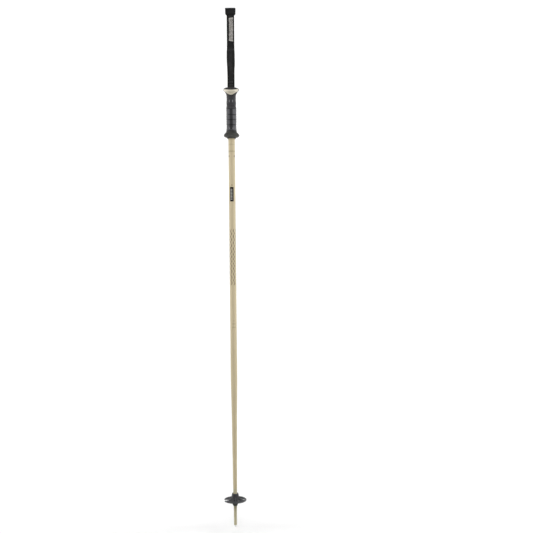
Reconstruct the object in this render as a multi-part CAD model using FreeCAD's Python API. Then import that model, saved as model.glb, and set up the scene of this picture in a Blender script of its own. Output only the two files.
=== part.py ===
import FreeCAD, Part
import math
import os

# Ski pole, in millimetres.  +Z runs up the shaft, the origin is the end of the steel tip on the
# shaft's axis, and -Y is the front, where the grip carries its badge.

# ---- Whole pole ----
POLE_LENGTH = 1200.0            # tip to the top of the grip
SHAFT_DIAMETER = 18.0
SHAFT_WALL = 1.1
SHAFT_KNEE_DIAMETER = 14.3      # where the quick taper becomes the slow one
SHAFT_END_DIAMETER = 10.7
SHAFT_END_HEIGHT = 105.0        # above the tip
SHAFT_KNEE_HEIGHT = 300.0
SHAFT_TAPER_HEIGHT = 405.0
FIXED_FIT = 0.05                # gap between pieces that are glued or pressed together
RUNNING_FIT = 0.06              # radial gap where a piece turns
END_FLOAT = 0.35                # gap along the axis of a piece that turns or slides
CUT_PAST = 1.0                  # how far a cutter runs past the face it opens

# ---- Ferrule and steel tip ----
FERRULE_COLLAR_DIAMETER = 10.4
FERRULE_COLLAR_BOTTOM = 83.0
FERRULE_SEAT_DIAMETER = 9.2     # the basket turns on this length
FERRULE_STEM_TOP_DIAMETER = 9.0
FERRULE_STEM_HEIGHT = 57.2      # top of the bare stem below the basket
FERRULE_LAND_DIAMETER = 8.0     # plain end that a rubber protector pushes onto
FERRULE_LAND_TOP = 21.0
FERRULE_END_HEIGHT = 5.0
FERRULE_END_CHAMFER = 0.8
SEAT_STEP_HEIGHT = 1.0          # from the bare stem out to the basket's seat
SPIGOT_BORE_LENGTH = 26.0       # straight bore at the shaft's end that holds the spigot
SPIGOT_END_GAP = 1.0
TIP_DIAMETER = 5.6
TIP_SHANK_DIAMETER = 4.0
TIP_SHANK_LENGTH = 18.0
TIP_CUP_DIAMETER = 3.6
TIP_CUP_DEPTH = 1.4
TIP_CUP_LIP = 0.3
TIP_CONE_GAP = 1.5              # straight part of the tip below the ferrule

# ---- Basket ----
BASKET_DIAMETER = 61.2
BASKET_PLANE_HEIGHT = 71.6      # underside of the disc at its rim
BASKET_THICKNESS = 2.4
BASKET_DISH = 1.6               # the disc's middle stands this much above the rim
BASKET_RIM_BEAD = 1.2
BASKET_RIM_WIDTH = 5.1
BASKET_EDGE_ROUND = 1.0
BEAD_CREST_INSET = 2.6          # from the rim's edge to the inner end of the bead's crest
BEAD_FOOT_INSET = 3.6
FLARE_UNDERCUT = 1.0
SHOULDER_FOOT_OUT = 1.2         # the shoulder's foot stands this much outside the shoulder
SHOULDER_FOOT_RISE = 3.2
HUB_TOP_DIAMETER = 17.2
HUB_SHOULDER_DIAMETER = 19.6
HUB_FLARE_DIAMETER = 27.0
HUB_TOP_HEIGHT = 91.6
HUB_SHOULDER_HEIGHT = 83.5
HUB_BOTTOM_HEIGHT = 66.0
HUB_CUP_DIAMETER = 13.8
WINDOW_COUNT = 6
WINDOW_INNER_DIAMETER = 40.0
WINDOW_HALF_ANGLE = 12.0
NOTCH_INNER_DIAMETER = 34.0
NOTCH_HALF_ANGLE = 16.0
NOTCH_ANGLE = 186.0             # the one window that is open through the rim
RIB_THICKNESS = 1.6
RIB_HEIGHT = 5.5
RIB_FOOT_RISE = 1.2             # the ribs start this much above the disc's underside
RIB_END_HEIGHT = 2.0
RIB_ROOT_OVERLAP = 1.5
LOCK_RING_BAND = 1.5            # straight upper edge of the lock ring
LOCK_RING_DIAMETER = 16.4
LOCK_RING_END_DIAMETER = 12.4

# ---- Grip, heights counted down from the top of the grip ----
GRIP_LENGTH = 139.0
GRIP_DEPTH_RATIO = 1.22         # front-to-back size over width
STOP_HEIGHT = 19.5
STOP_WIDTH = 42.0
HANDLE_WIDTH = 27.4
HANDLE_WAIST = 25.6
HEAD_HEIGHT = 26.0
HEAD_WIDTH = 43.0
CAP_HEIGHT = 4.6
CAP_TOP_WIDTH = 24.0
CORE_WIDTH = 21.4
CORE_BOTTOM_INSET = 1.0
SHAFT_SOCKET_DEPTH = 98.0       # from the bottom of the grip to the end of the shaft
GROOVE_DEPTHS_DOWN = (59.0, 75.5, 89.0, 103.0)
GROOVE_WIDTH = 2.2
GROOVE_DEPTH = 0.9
SPINE_WIDTH = 8.0
SPINE_THICKNESS = 1.4
SPINE_INSET = 0.15
SPINE_TOP_DOWN = 60.0
SPINE_BOTTOM_DOWN = 116.5
BADGE_THICKNESS = 1.2
BADGE_HALF_WIDTH = 20.2
BADGE_CORNER_DOWN = 4.9         # top edge at its two ends
BADGE_TOP_DOWN = 9.3            # top edge at its middle, which sags between the ends
BADGE_SHOULDER_DOWN = 7.8
BADGE_POINT_DOWN = 21.4
BADGE_GAP = 0.1
BADGE_WRAP = 3.0                # the badge stops this far in front of the pole's axis
BADGE_POINT_HALF_WIDTH = 8.2    # where the straight flanks meet the round point
BADGE_POINT_RISE = 3.6
CAP_EDGE_ROUND = 1.4
CAP_INSET = 0.3                 # the cap is this much narrower than the head at their joint

# ---- Strap anchor in the head ----
ANCHOR_DOWN = 11.5
ANCHOR_PIN_DIAMETER = 4.0
ANCHOR_PIN_LENGTH = 30.0
CAVITY_GAP = 0.7
SCREW_DIAMETER = 3.2
SCREW_HEAD_DIAMETER = 6.4
SCREW_HEAD_HEIGHT = 1.6
SCREW_LENGTH = 17.0
SCREW_HOLE_EXTRA = 0.5
SCREW_SLOT_WIDTH = 0.8
SCREW_SLOT_DEPTH = 0.7

# ---- Webbing ----
WEB_THICKNESS = 2.0
WEB_WIDTH = 20.0
NECK_WIDTH = 19.2
NECK_PLY_GAP = 0.3
ROOT_TOP_ABOVE = 0.6            # end of the fixed length of webbing, above the top of the grip
LOOP_PLY_GAP = 1.2
HINGE_GAP = 2.4                 # bare length of webbing each side of a bend
MOUTH_BEND_ABOVE = 4.0          # bend at the mouth of the head, above the top of the grip
DRAPE_BEND_ABOVE = 34.0
LOOP_STRAIGHT_ABOVE = 40.0
LOOP_CLOSE_ABOVE = 122.0
LOOP_BOW = 20.0
CROWN_TOP_ABOVE = 216.4
BARTACK_WIDTH = 12.0
BARTACK_HEIGHT = 1.8
BARTACK_PROUD = 0.3
BARTACKS_ABOVE = (8.5, 16.5)
PRINT_WIDTH = 11.4
PRINT_OFFSET = 1.4              # the printed panel sits a little towards +X
PRINT_BOTTOM_ABOVE = 127.0
PRINT_TOP_ABOVE = 193.0
PRINT_SLANT = 2.2
PRINT_THICKNESS = 0.2

# ---- Strap slider ----
SLIDER_WIDTH = 28.4
SLIDER_DEPTH = 11.6
SLIDER_HEIGHT = 17.6
SLIDER_TOP_ABOVE = 218.3
SLIDER_TOP_ROUND = 1.4
SLIDER_FOOT_ROUND = 4.0
SLIDER_RECESS_DEPTH = 0.5
SLIDER_RECESS_MARGIN = 3.4
SLIDER_SIDE_GAP = 0.45
SLIDER_FACE_GAP = 0.4
RIVET_DIAMETER = 2.0
RIVET_INSET = 1.0               # each rivet ends this far inside the slider's faces
ON_PLANE = 1e-6                 # tolerance when an edge is looked up by its position

GRIP_TOP = POLE_LENGTH
GRIP_BOTTOM = GRIP_TOP - GRIP_LENGTH
HEAD_BOTTOM = GRIP_TOP - HEAD_HEIGHT
STOP_TOP = GRIP_BOTTOM + STOP_HEIGHT
CAP_BOTTOM = GRIP_TOP - CAP_HEIGHT
SHAFT_TOP = GRIP_BOTTOM + SHAFT_SOCKET_DEPTH
ANCHOR_HEIGHT = GRIP_TOP - ANCHOR_DOWN
MOUTH_BEND = GRIP_TOP + MOUTH_BEND_ABOVE
DRAPE_BEND = GRIP_TOP + DRAPE_BEND_ABOVE

Z_AXIS = FreeCAD.Vector(0, 0, 1)
X_AXIS = FreeCAD.Vector(1, 0, 0)
Y_AXIS = FreeCAD.Vector(0, 1, 0)
ORIGIN = FreeCAD.Vector(0, 0, 0)


def vector(x, y, z):
    return FreeCAD.Vector(x, y, z)


def box(x0, x1, y0, y1, z0, z1):
    return Part.makeBox(x1 - x0, y1 - y0, z1 - z0, vector(x0, y0, z0))


def rod(diameter, z0, z1):
    return Part.makeCylinder(diameter / 2, z1 - z0, vector(0, 0, z0))


def turned(outline):
    """Solid of revolution about Z of a closed outline of (radius, height) points."""
    points = [vector(r, 0, z) for r, z in outline]
    face = Part.Face(Part.makePolygon(points + points[:1]))
    return face.revolve(ORIGIN, Z_AXIS, 360)


# Each oval piece of the grip is made round first and made deeper front to back at the end,
# so what cuts it is squeezed by the same ratio beforehand.

def scaled_in_depth(solid, ratio):
    stretch = FreeCAD.Matrix()
    stretch.scale(1.0, ratio, 1.0)
    return solid.transformGeometry(stretch)


def oval(solid):
    return scaled_in_depth(solid, GRIP_DEPTH_RATIO)


def squeezed(solid):
    return scaled_in_depth(solid, 1 / GRIP_DEPTH_RATIO)


def flank(half_widths, inset=0.0):
    """Smooth curve through (half width, height) points, its parameter being the height."""
    curve = Part.BSplineCurve()
    points = [vector(w - inset, 0, z) for w, z in half_widths]
    curve.interpolate(Points=points, Parameters=[z for w, z in half_widths])
    return curve


def turned_between(inner_radius, edges):
    """Solid of revolution between a straight bore and a chain of edges that runs upward."""
    first = edges[0].Vertexes[0].Point
    last = edges[-1].Vertexes[-1].Point
    low = vector(inner_radius, 0, first.z)
    high = vector(inner_radius, 0, last.z)
    closing = [Part.makeLine(last, high), Part.makeLine(high, low), Part.makeLine(low, first)]
    return Part.Face(Part.Wire(edges + closing)).revolve(ORIGIN, Z_AXIS, 360)


def turned_skin(half_widths, outer_inset, inner_inset):
    """Thin shell between two copies of one flank."""
    outer = flank(half_widths, outer_inset).toShape()
    inner = flank(half_widths, inner_inset).toShape()
    foot = Part.makeLine(inner.Vertexes[0].Point, outer.Vertexes[0].Point)
    head = Part.makeLine(outer.Vertexes[-1].Point, inner.Vertexes[-1].Point)
    return Part.Face(Part.Wire([foot, outer, head, inner])).revolve(ORIGIN, Z_AXIS, 360)


def grip_down(distance):
    return GRIP_TOP - distance


# ---- Shaft, ferrule and tip ----

def make_shaft():
    outline_outside = [
        (SHAFT_END_DIAMETER / 2, SHAFT_END_HEIGHT),
        (SHAFT_KNEE_DIAMETER / 2, SHAFT_KNEE_HEIGHT),
        (SHAFT_DIAMETER / 2, SHAFT_TAPER_HEIGHT),
        (SHAFT_DIAMETER / 2, SHAFT_TOP),
    ]
    outline_inside = [(r - SHAFT_WALL, z) for r, z in reversed(outline_outside)]
    spigot_radius = SHAFT_END_DIAMETER / 2 - SHAFT_WALL
    spigot_top = SHAFT_END_HEIGHT + SPIGOT_BORE_LENGTH
    straight_end = [(spigot_radius, spigot_top), (spigot_radius, SHAFT_END_HEIGHT)]
    return turned(outline_outside + outline_inside[:-1] + straight_end)


def make_ferrule():
    spigot_radius = SHAFT_END_DIAMETER / 2 - SHAFT_WALL - FIXED_FIT
    spigot_top = SHAFT_END_HEIGHT + SPIGOT_BORE_LENGTH - SPIGOT_END_GAP
    collar_top = SHAFT_END_HEIGHT - FIXED_FIT
    land_radius = FERRULE_LAND_DIAMETER / 2
    outline = [
        (0, FERRULE_END_HEIGHT),
        (land_radius - FERRULE_END_CHAMFER, FERRULE_END_HEIGHT),
        (land_radius, FERRULE_END_HEIGHT + FERRULE_END_CHAMFER),
        (land_radius, FERRULE_LAND_TOP),
        (FERRULE_STEM_TOP_DIAMETER / 2, FERRULE_STEM_HEIGHT),
        (FERRULE_SEAT_DIAMETER / 2, FERRULE_STEM_HEIGHT + SEAT_STEP_HEIGHT),
        (FERRULE_SEAT_DIAMETER / 2, FERRULE_COLLAR_BOTTOM),
        (FERRULE_COLLAR_DIAMETER / 2, FERRULE_COLLAR_BOTTOM),
        (FERRULE_COLLAR_DIAMETER / 2, collar_top),
        (spigot_radius, collar_top),
        (spigot_radius, spigot_top),
        (0, spigot_top),
    ]
    shank_top = FERRULE_END_HEIGHT + TIP_SHANK_LENGTH
    socket_low = FERRULE_END_HEIGHT - CUT_PAST
    socket = rod(TIP_SHANK_DIAMETER + 2 * FIXED_FIT, socket_low, shank_top + FIXED_FIT)
    return turned(outline).cut(socket)


def make_steel_tip():
    collar = FERRULE_END_HEIGHT - FIXED_FIT
    outline = [
        (0, TIP_CUP_DEPTH),
        (TIP_CUP_DIAMETER / 2, 0),
        (TIP_CUP_DIAMETER / 2 + TIP_CUP_LIP, 0),
        (TIP_DIAMETER / 2, collar - TIP_CONE_GAP),
        (TIP_DIAMETER / 2, collar),
        (TIP_SHANK_DIAMETER / 2, collar),
        (TIP_SHANK_DIAMETER / 2, FERRULE_END_HEIGHT + TIP_SHANK_LENGTH),
        (0, FERRULE_END_HEIGHT + TIP_SHANK_LENGTH),
    ]
    return turned(outline)


# ---- Basket ----

def window_prism(inner_radius, outer_radius, half_angle, middle_angle):
    """Tall ring sector that cuts one window."""
    low = HUB_BOTTOM_HEIGHT
    height = HUB_TOP_HEIGHT - HUB_BOTTOM_HEIGHT
    outer = Part.makeCylinder(outer_radius, height, vector(0, 0, low), Z_AXIS, 2 * half_angle)
    inner = rod(2 * inner_radius, low, low + height)
    sector = outer.cut(inner)
    sector.rotate(ORIGIN, Z_AXIS, middle_angle - half_angle)
    return sector


def make_basket():
    rim = BASKET_DIAMETER / 2
    flare = HUB_FLARE_DIAMETER / 2
    bore = FERRULE_SEAT_DIAMETER / 2 + RUNNING_FIT
    low = BASKET_PLANE_HEIGHT
    middle = low + BASKET_DISH
    disc_top = low + BASKET_THICKNESS
    shoulder = HUB_SHOULDER_DIAMETER / 2
    collar_seat = FERRULE_COLLAR_BOTTOM - END_FLOAT
    outline = [
        (bore, HUB_BOTTOM_HEIGHT),
        (LOCK_RING_DIAMETER / 2, HUB_BOTTOM_HEIGHT),
        (flare, middle - FLARE_UNDERCUT),
        (rim - BASKET_EDGE_ROUND, low),
        (rim, low + BASKET_EDGE_ROUND),
        (rim, disc_top),
        (rim - BASKET_EDGE_ROUND, disc_top + BASKET_RIM_BEAD),
        (rim - BEAD_CREST_INSET, disc_top + BASKET_RIM_BEAD),
        (rim - BEAD_FOOT_INSET, disc_top),
        (flare, middle + BASKET_THICKNESS),
        (shoulder + SHOULDER_FOOT_OUT, middle + BASKET_THICKNESS + SHOULDER_FOOT_RISE),
        (shoulder, HUB_SHOULDER_HEIGHT),
        (HUB_TOP_DIAMETER / 2, HUB_TOP_HEIGHT),
        (HUB_CUP_DIAMETER / 2, HUB_TOP_HEIGHT),
        (HUB_CUP_DIAMETER / 2, collar_seat),
        (bore, collar_seat),
    ]
    body = turned(outline)
    pitch = 360.0 / WINDOW_COUNT
    body = body.cut(window_prism(NOTCH_INNER_DIAMETER / 2, rim + CUT_PAST, NOTCH_HALF_ANGLE, NOTCH_ANGLE))
    for index in range(1, WINDOW_COUNT):
        inner = WINDOW_INNER_DIAMETER / 2
        outer = rim - BASKET_RIM_WIDTH
        body = body.cut(window_prism(inner, outer, WINDOW_HALF_ANGLE, NOTCH_ANGLE + index * pitch))
    for index in range(WINDOW_COUNT):
        body = body.fuse(hub_rib(NOTCH_ANGLE + (index + 0.5) * pitch))
    return body.removeSplitter()


def hub_rib(angle):
    """Upright gusset on a spoke, from the hub's shoulder out towards the rim."""
    start = HUB_SHOULDER_DIAMETER / 2 - RIB_ROOT_OVERLAP
    end = BASKET_DIAMETER / 2 - BASKET_RIM_WIDTH
    foot = BASKET_PLANE_HEIGHT + RIB_FOOT_RISE
    top = BASKET_PLANE_HEIGHT + BASKET_DISH + BASKET_THICKNESS + RIB_HEIGHT
    corners = [
        vector(start, 0, foot),
        vector(end, 0, foot),
        vector(end, 0, foot + RIB_END_HEIGHT),
        vector(start, 0, top),
    ]
    face = Part.Face(Part.makePolygon(corners + corners[:1]))
    rib = face.extrude(vector(0, RIB_THICKNESS, 0))
    rib.translate(vector(0, -RIB_THICKNESS / 2, 0))
    rib.rotate(ORIGIN, Z_AXIS, angle)
    return rib


def make_basket_lock_ring():
    top = HUB_BOTTOM_HEIGHT - END_FLOAT
    low = FERRULE_STEM_HEIGHT + SEAT_STEP_HEIGHT
    hole = FERRULE_SEAT_DIAMETER / 2 + FIXED_FIT
    outline = [
        (hole, low),
        (LOCK_RING_END_DIAMETER / 2, low),
        (LOCK_RING_DIAMETER / 2, top - LOCK_RING_BAND),
        (LOCK_RING_DIAMETER / 2, top),
        (hole, top),
    ]
    return turned(outline)


# ---- Grip ----

def handle_outline():
    """Half widths of the handle: they swell and narrow a little about the two nominal widths."""
    waist = HANDLE_WAIST / 2
    full = HANDLE_WIDTH / 2
    foot = STOP_TOP + FIXED_FIT
    head = HEAD_BOTTOM - FIXED_FIT
    return [
        (full + 0.9, foot),
        (full + 0.1, foot + 6.5),
        (full - 0.4, foot + 12.5),
        (full, grip_down(96)),
        (full + 0.2, grip_down(82)),
        (full, grip_down(66)),
        (full, grip_down(54)),
        (waist + 0.2, grip_down(47.5)),
        (waist + 0.3, grip_down(42)),
        (waist, grip_down(34)),
        (waist, head),
    ]


def head_outline():
    """Half widths of the head, a trumpet from the waist out to the cap."""
    waist = HANDLE_WAIST / 2
    wide = HEAD_WIDTH / 2
    return [
        (waist, HEAD_BOTTOM),
        (waist + 0.5, grip_down(20.0)),
        (waist + 2.3, grip_down(15.0)),
        (waist + 0.67 * (wide - waist), grip_down(9.0)),
        (wide - 0.7, grip_down(6.4)),
        (wide, CAP_BOTTOM),
    ]


def grooved_flank(half_widths, inset, floor_inset):
    """The flank's edges from bottom to top, with a groove at each groove height on it."""
    curve = flank(half_widths, inset)
    floor = flank(half_widths, floor_inset)
    low = half_widths[0][1]
    high = half_widths[-1][1]
    edges = []
    reached = low
    for distance in reversed(GROOVE_DEPTHS_DOWN):
        height = grip_down(distance)
        if height - GROOVE_WIDTH < low or height + GROOVE_WIDTH > high:
            continue
        under = height - GROOVE_WIDTH / 2
        over = height + GROOVE_WIDTH / 2
        floor_under = floor.value(height - GROOVE_WIDTH / 5)
        floor_over = floor.value(height + GROOVE_WIDTH / 5)
        edges.append(curve.toShape(reached, under))
        edges.append(Part.makeLine(curve.value(under), floor_under))
        edges.append(Part.makeLine(floor_under, floor_over))
        edges.append(Part.makeLine(floor_over, curve.value(over)))
        reached = over
    edges.append(curve.toShape(reached, high))
    return edges


def spine_prism(gap):
    half = SPINE_WIDTH / 2 + gap
    low = grip_down(SPINE_BOTTOM_DOWN) - gap
    high = grip_down(SPINE_TOP_DOWN) + gap
    return box(-half, half, -HEAD_WIDTH, 0, low, high)


def make_grip_core():
    low = GRIP_BOTTOM + CORE_BOTTOM_INSET
    body = oval(rod(CORE_WIDTH, low, HEAD_BOTTOM - FIXED_FIT))
    socket = rod(SHAFT_DIAMETER + 2 * FIXED_FIT, low - CUT_PAST, SHAFT_TOP + FIXED_FIT)
    screw_end = screw_seat() - SCREW_LENGTH - SCREW_HOLE_EXTRA
    screw_hole = rod(SCREW_DIAMETER + 2 * FIXED_FIT, screw_end, HEAD_BOTTOM)
    return body.cut(socket).cut(screw_hole)


def make_grip_sleeve():
    outline = handle_outline()
    body = turned_between(CORE_WIDTH / 2 + FIXED_FIT, grooved_flank(outline, 0, GROOVE_DEPTH))
    pocket = turned_skin(outline, -CUT_PAST, SPINE_THICKNESS + FIXED_FIT).common(spine_prism(FIXED_FIT))
    return oval(body.cut(pocket))


def make_grip_spine():
    outline = handle_outline()
    outer = grooved_flank(outline, SPINE_INSET, GROOVE_DEPTH)
    inner = flank(outline, SPINE_THICKNESS).toShape()
    foot = Part.makeLine(inner.Vertexes[0].Point, outer[0].Vertexes[0].Point)
    head = Part.makeLine(outer[-1].Vertexes[-1].Point, inner.Vertexes[-1].Point)
    skin = Part.Face(Part.Wire([foot] + outer + [head, inner])).revolve(ORIGIN, Z_AXIS, 360)
    return oval(skin.common(spine_prism(0)))


def make_hand_stop():
    wide = STOP_WIDTH / 2
    foot = CORE_WIDTH / 2
    neck = HANDLE_WIDTH / 2 + 0.9
    outline = [
        (foot + 0.8, GRIP_BOTTOM),
        (foot + 2.7, GRIP_BOTTOM + 3.8),
        (wide - 1.3, GRIP_BOTTOM + 6.8),
        (wide, GRIP_BOTTOM + 9.4),
        (wide - 1.1, GRIP_BOTTOM + 12.0),
        (neck + 2.9, GRIP_BOTTOM + 15.0),
        (neck + 1.0, GRIP_BOTTOM + 17.4),
        (neck, STOP_TOP),
    ]
    return oval(turned_between(CORE_WIDTH / 2 + FIXED_FIT, [flank(outline).toShape()]))


def badge_prism(gap):
    """Shield-shaped bar through the front of the head: sagging top, straight flanks, round point."""
    half = BADGE_HALF_WIDTH + gap
    corner = grip_down(BADGE_CORNER_DOWN) + gap
    top = grip_down(BADGE_TOP_DOWN) + gap
    shoulder = grip_down(BADGE_SHOULDER_DOWN) - gap
    point = grip_down(BADGE_POINT_DOWN) - gap
    turn = point + BADGE_POINT_RISE
    top_left = vector(-half, -HEAD_WIDTH, corner)
    top_right = vector(half, -HEAD_WIDTH, corner)
    left = vector(-half, -HEAD_WIDTH, shoulder)
    right = vector(half, -HEAD_WIDTH, shoulder)
    left_turn = vector(-BADGE_POINT_HALF_WIDTH, -HEAD_WIDTH, turn)
    right_turn = vector(BADGE_POINT_HALF_WIDTH, -HEAD_WIDTH, turn)
    lowest = vector(0, -HEAD_WIDTH, point)
    edges = [
        Part.Arc(top_right, vector(0, -HEAD_WIDTH, top), top_left).toShape(),
        Part.makeLine(top_left, left),
        Part.makeLine(left, left_turn),
        Part.Arc(left_turn, lowest, right_turn).toShape(),
        Part.makeLine(right_turn, right),
        Part.makeLine(right, top_right),
    ]
    face = Part.Face(Part.Wire(edges))
    return face.extrude(vector(0, HEAD_WIDTH - BADGE_WRAP + gap, 0))


def anchor_cavity(z0, z1, half_depth):
    half = NECK_WIDTH / 2 + CAVITY_GAP
    return box(-half, half, -half_depth, half_depth, z0, z1)


def eye_radius():
    return ANCHOR_PIN_DIAMETER / 2 + FIXED_FIT + WEB_THICKNESS


def screw_seat():
    return ANCHOR_HEIGHT - eye_radius() - CAVITY_GAP - SCREW_HEAD_HEIGHT - CAVITY_GAP


def make_head_shell():
    outline = head_outline()
    body = turned_between(0, [flank(outline).toShape()])
    pocket = turned_skin(outline, -CUT_PAST, BADGE_THICKNESS + BADGE_GAP).common(badge_prism(BADGE_GAP))
    floor = screw_seat()
    cavity = anchor_cavity(floor, GRIP_TOP, eye_radius() + CAVITY_GAP)
    pin_start = vector(-ANCHOR_PIN_LENGTH / 2 - FIXED_FIT, 0, ANCHOR_HEIGHT)
    pin_hole = Part.makeCylinder(ANCHOR_PIN_DIAMETER / 2 + FIXED_FIT, HEAD_WIDTH, pin_start, X_AXIS)
    screw_hole = rod(SCREW_DIAMETER + 2 * FIXED_FIT, HEAD_BOTTOM - CUT_PAST, floor + CUT_PAST)
    for opening in (pocket, squeezed(cavity), squeezed(pin_hole), squeezed(screw_hole)):
        body = body.cut(opening)
    return oval(body)


def make_head_cap():
    wide = HEAD_WIDTH / 2
    flat = CAP_TOP_WIDTH / 2
    low = CAP_BOTTOM + FIXED_FIT
    outline = [
        (wide - CAP_INSET, low),
        (wide - CAP_EDGE_ROUND, low + CAP_EDGE_ROUND),
        ((wide + flat) / 2, GRIP_TOP - CAP_EDGE_ROUND),
        (flat, GRIP_TOP),
    ]
    mouth_half_depth = NECK_PLY_GAP / 2 + WEB_THICKNESS + CAVITY_GAP
    mouth = anchor_cavity(CAP_BOTTOM - CUT_PAST, GRIP_TOP + CUT_PAST, mouth_half_depth)
    return oval(turned_between(0, [flank(outline).toShape()]).cut(squeezed(mouth)))


def make_front_badge():
    return oval(turned_skin(head_outline(), 0, BADGE_THICKNESS).common(badge_prism(0)))


def make_strap_anchor_pin():
    start = vector(-ANCHOR_PIN_LENGTH / 2, 0, ANCHOR_HEIGHT)
    return Part.makeCylinder(ANCHOR_PIN_DIAMETER / 2, ANCHOR_PIN_LENGTH, start, X_AXIS)


def make_head_screw():
    seat = screw_seat() + FIXED_FIT
    head = rod(SCREW_HEAD_DIAMETER, seat, seat + SCREW_HEAD_HEIGHT)
    shank = rod(SCREW_DIAMETER, seat - SCREW_LENGTH, seat)
    reach = SCREW_HEAD_DIAMETER
    half_slot = SCREW_SLOT_WIDTH / 2
    top = seat + SCREW_HEAD_HEIGHT
    slot = box(-reach, reach, -half_slot, half_slot, top - SCREW_SLOT_DEPTH, top + CUT_PAST)
    return head.fuse(shank).cut(slot)


# ---- Webbing ----

def make_strap_root():
    """Webbing folded round the anchor pin, up to the mouth of the head."""
    start = vector(-NECK_WIDTH / 2, 0, ANCHOR_HEIGHT)
    eye = Part.makeCylinder(eye_radius(), NECK_WIDTH, start, X_AXIS)
    hole = Part.makeCylinder(ANCHOR_PIN_DIAMETER / 2 + FIXED_FIT, NECK_WIDTH, start, X_AXIS)
    outer = NECK_PLY_GAP / 2 + WEB_THICKNESS
    half = NECK_WIDTH / 2
    stem = box(-half, half, -outer, outer, ANCHOR_HEIGHT, GRIP_TOP + ROOT_TOP_ABOVE)
    return eye.fuse(stem).cut(hole).removeSplitter()


def make_strap_neck():
    """The stretch between the two bends, its two plies sewn into one."""
    outer = NECK_PLY_GAP / 2 + WEB_THICKNESS
    half = NECK_WIDTH / 2
    return box(-half, half, -outer, outer, MOUTH_BEND + HINGE_GAP, DRAPE_BEND - HINGE_GAP)


def make_neck_bartacks():
    face = NECK_PLY_GAP / 2 + WEB_THICKNESS
    half = BARTACK_WIDTH / 2
    rise = BARTACK_HEIGHT / 2
    tacks = []
    for above in BARTACKS_ABOVE:
        z = GRIP_TOP + above
        tacks.append(box(-half, half, -face - BARTACK_PROUD, -face, z - rise, z + rise))
        tacks.append(box(-half, half, face, face + BARTACK_PROUD, z - rise, z + rise))
    return Part.makeCompound(tacks)


def loop_edges(offset):
    """One ply's path in the Y-Z plane on the +Y side, moved outward by offset."""
    near = LOOP_PLY_GAP / 2 + WEB_THICKNESS / 2
    z_low = GRIP_TOP + LOOP_STRAIGHT_ABOVE
    z_high = GRIP_TOP + LOOP_CLOSE_ABOVE
    half_run = (z_high - z_low) / 2
    turn = 2 * math.atan(LOOP_BOW / half_run)
    radius = half_run / (2 * math.sin(turn))
    z_mid = (z_low + z_high) / 2
    y_out = near + radius
    y_in = near + LOOP_BOW - radius
    outward = radius - offset
    inward = radius + offset

    def on_low(angle):
        return vector(0, y_out - outward * math.cos(angle), z_low + outward * math.sin(angle))

    def on_middle(angle):
        return vector(0, y_in + inward * math.cos(angle), z_mid + inward * math.sin(angle))

    def on_high(angle):
        return vector(0, y_out - outward * math.cos(angle), z_high - outward * math.sin(angle))

    start = vector(0, near + offset, DRAPE_BEND + HINGE_GAP)
    top = vector(0, near + offset, crown_centre())
    return [
        Part.makeLine(start, on_low(0)),
        Part.Arc(on_low(0), on_low(turn / 2), on_low(turn)).toShape(),
        Part.Arc(on_middle(-turn), on_middle(0), on_middle(turn)).toShape(),
        Part.Arc(on_high(turn), on_high(turn / 2), on_high(0)).toShape(),
        Part.makeLine(on_high(0), top),
    ]


def crown_centre():
    return GRIP_TOP + CROWN_TOP_ABOVE - LOOP_PLY_GAP / 2 - WEB_THICKNESS


def make_strap_rear_run():
    inner = loop_edges(-WEB_THICKNESS / 2)
    outer = loop_edges(WEB_THICKNESS / 2)
    bottom = Part.makeLine(inner[0].Vertexes[0].Point, outer[0].Vertexes[0].Point)
    top = Part.makeLine(inner[-1].Vertexes[-1].Point, outer[-1].Vertexes[-1].Point)
    wire = Part.Wire(Part.sortEdges(inner + outer + [bottom, top])[0])
    ply = Part.Face(wire).extrude(vector(WEB_WIDTH, 0, 0))
    ply.translate(vector(-WEB_WIDTH / 2, 0, 0))
    return ply


def make_strap_front_run():
    """The front ply with the fold at the top of the loop."""
    ply = make_strap_rear_run().mirror(ORIGIN, Y_AXIS)
    inner = LOOP_PLY_GAP / 2
    outer = inner + WEB_THICKNESS
    start = vector(-WEB_WIDTH / 2, 0, crown_centre())
    fold = Part.makeCylinder(outer, WEB_WIDTH, start, X_AXIS)
    ring = fold.cut(Part.makeCylinder(inner, WEB_WIDTH, start, X_AXIS))
    reach = outer + CUT_PAST
    upper = box(-WEB_WIDTH, WEB_WIDTH, -reach, reach, crown_centre(), crown_centre() + reach)
    return ply.fuse(ring.common(upper)).removeSplitter()


def make_strap_print():
    """Thin printed panel on the front ply, its ends cut on a slant."""
    face_y = -(LOOP_PLY_GAP / 2 + WEB_THICKNESS)
    left = PRINT_OFFSET - PRINT_WIDTH / 2
    right = PRINT_OFFSET + PRINT_WIDTH / 2
    low = GRIP_TOP + PRINT_BOTTOM_ABOVE
    high = GRIP_TOP + PRINT_TOP_ABOVE
    corners = [
        vector(left, face_y, low + PRINT_SLANT),
        vector(right, face_y, low),
        vector(right, face_y, high),
        vector(left, face_y, high - PRINT_SLANT),
    ]
    return Part.Face(Part.makePolygon(corners + corners[:1])).extrude(vector(0, -PRINT_THICKNESS, 0))


# ---- Slider on the end of the strap ----

def edges_at(solid, height):
    """The solid's level edges at one height."""
    return [e for e in solid.Edges if all(abs(v.Z - height) < ON_PLANE for v in e.Vertexes)]


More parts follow.
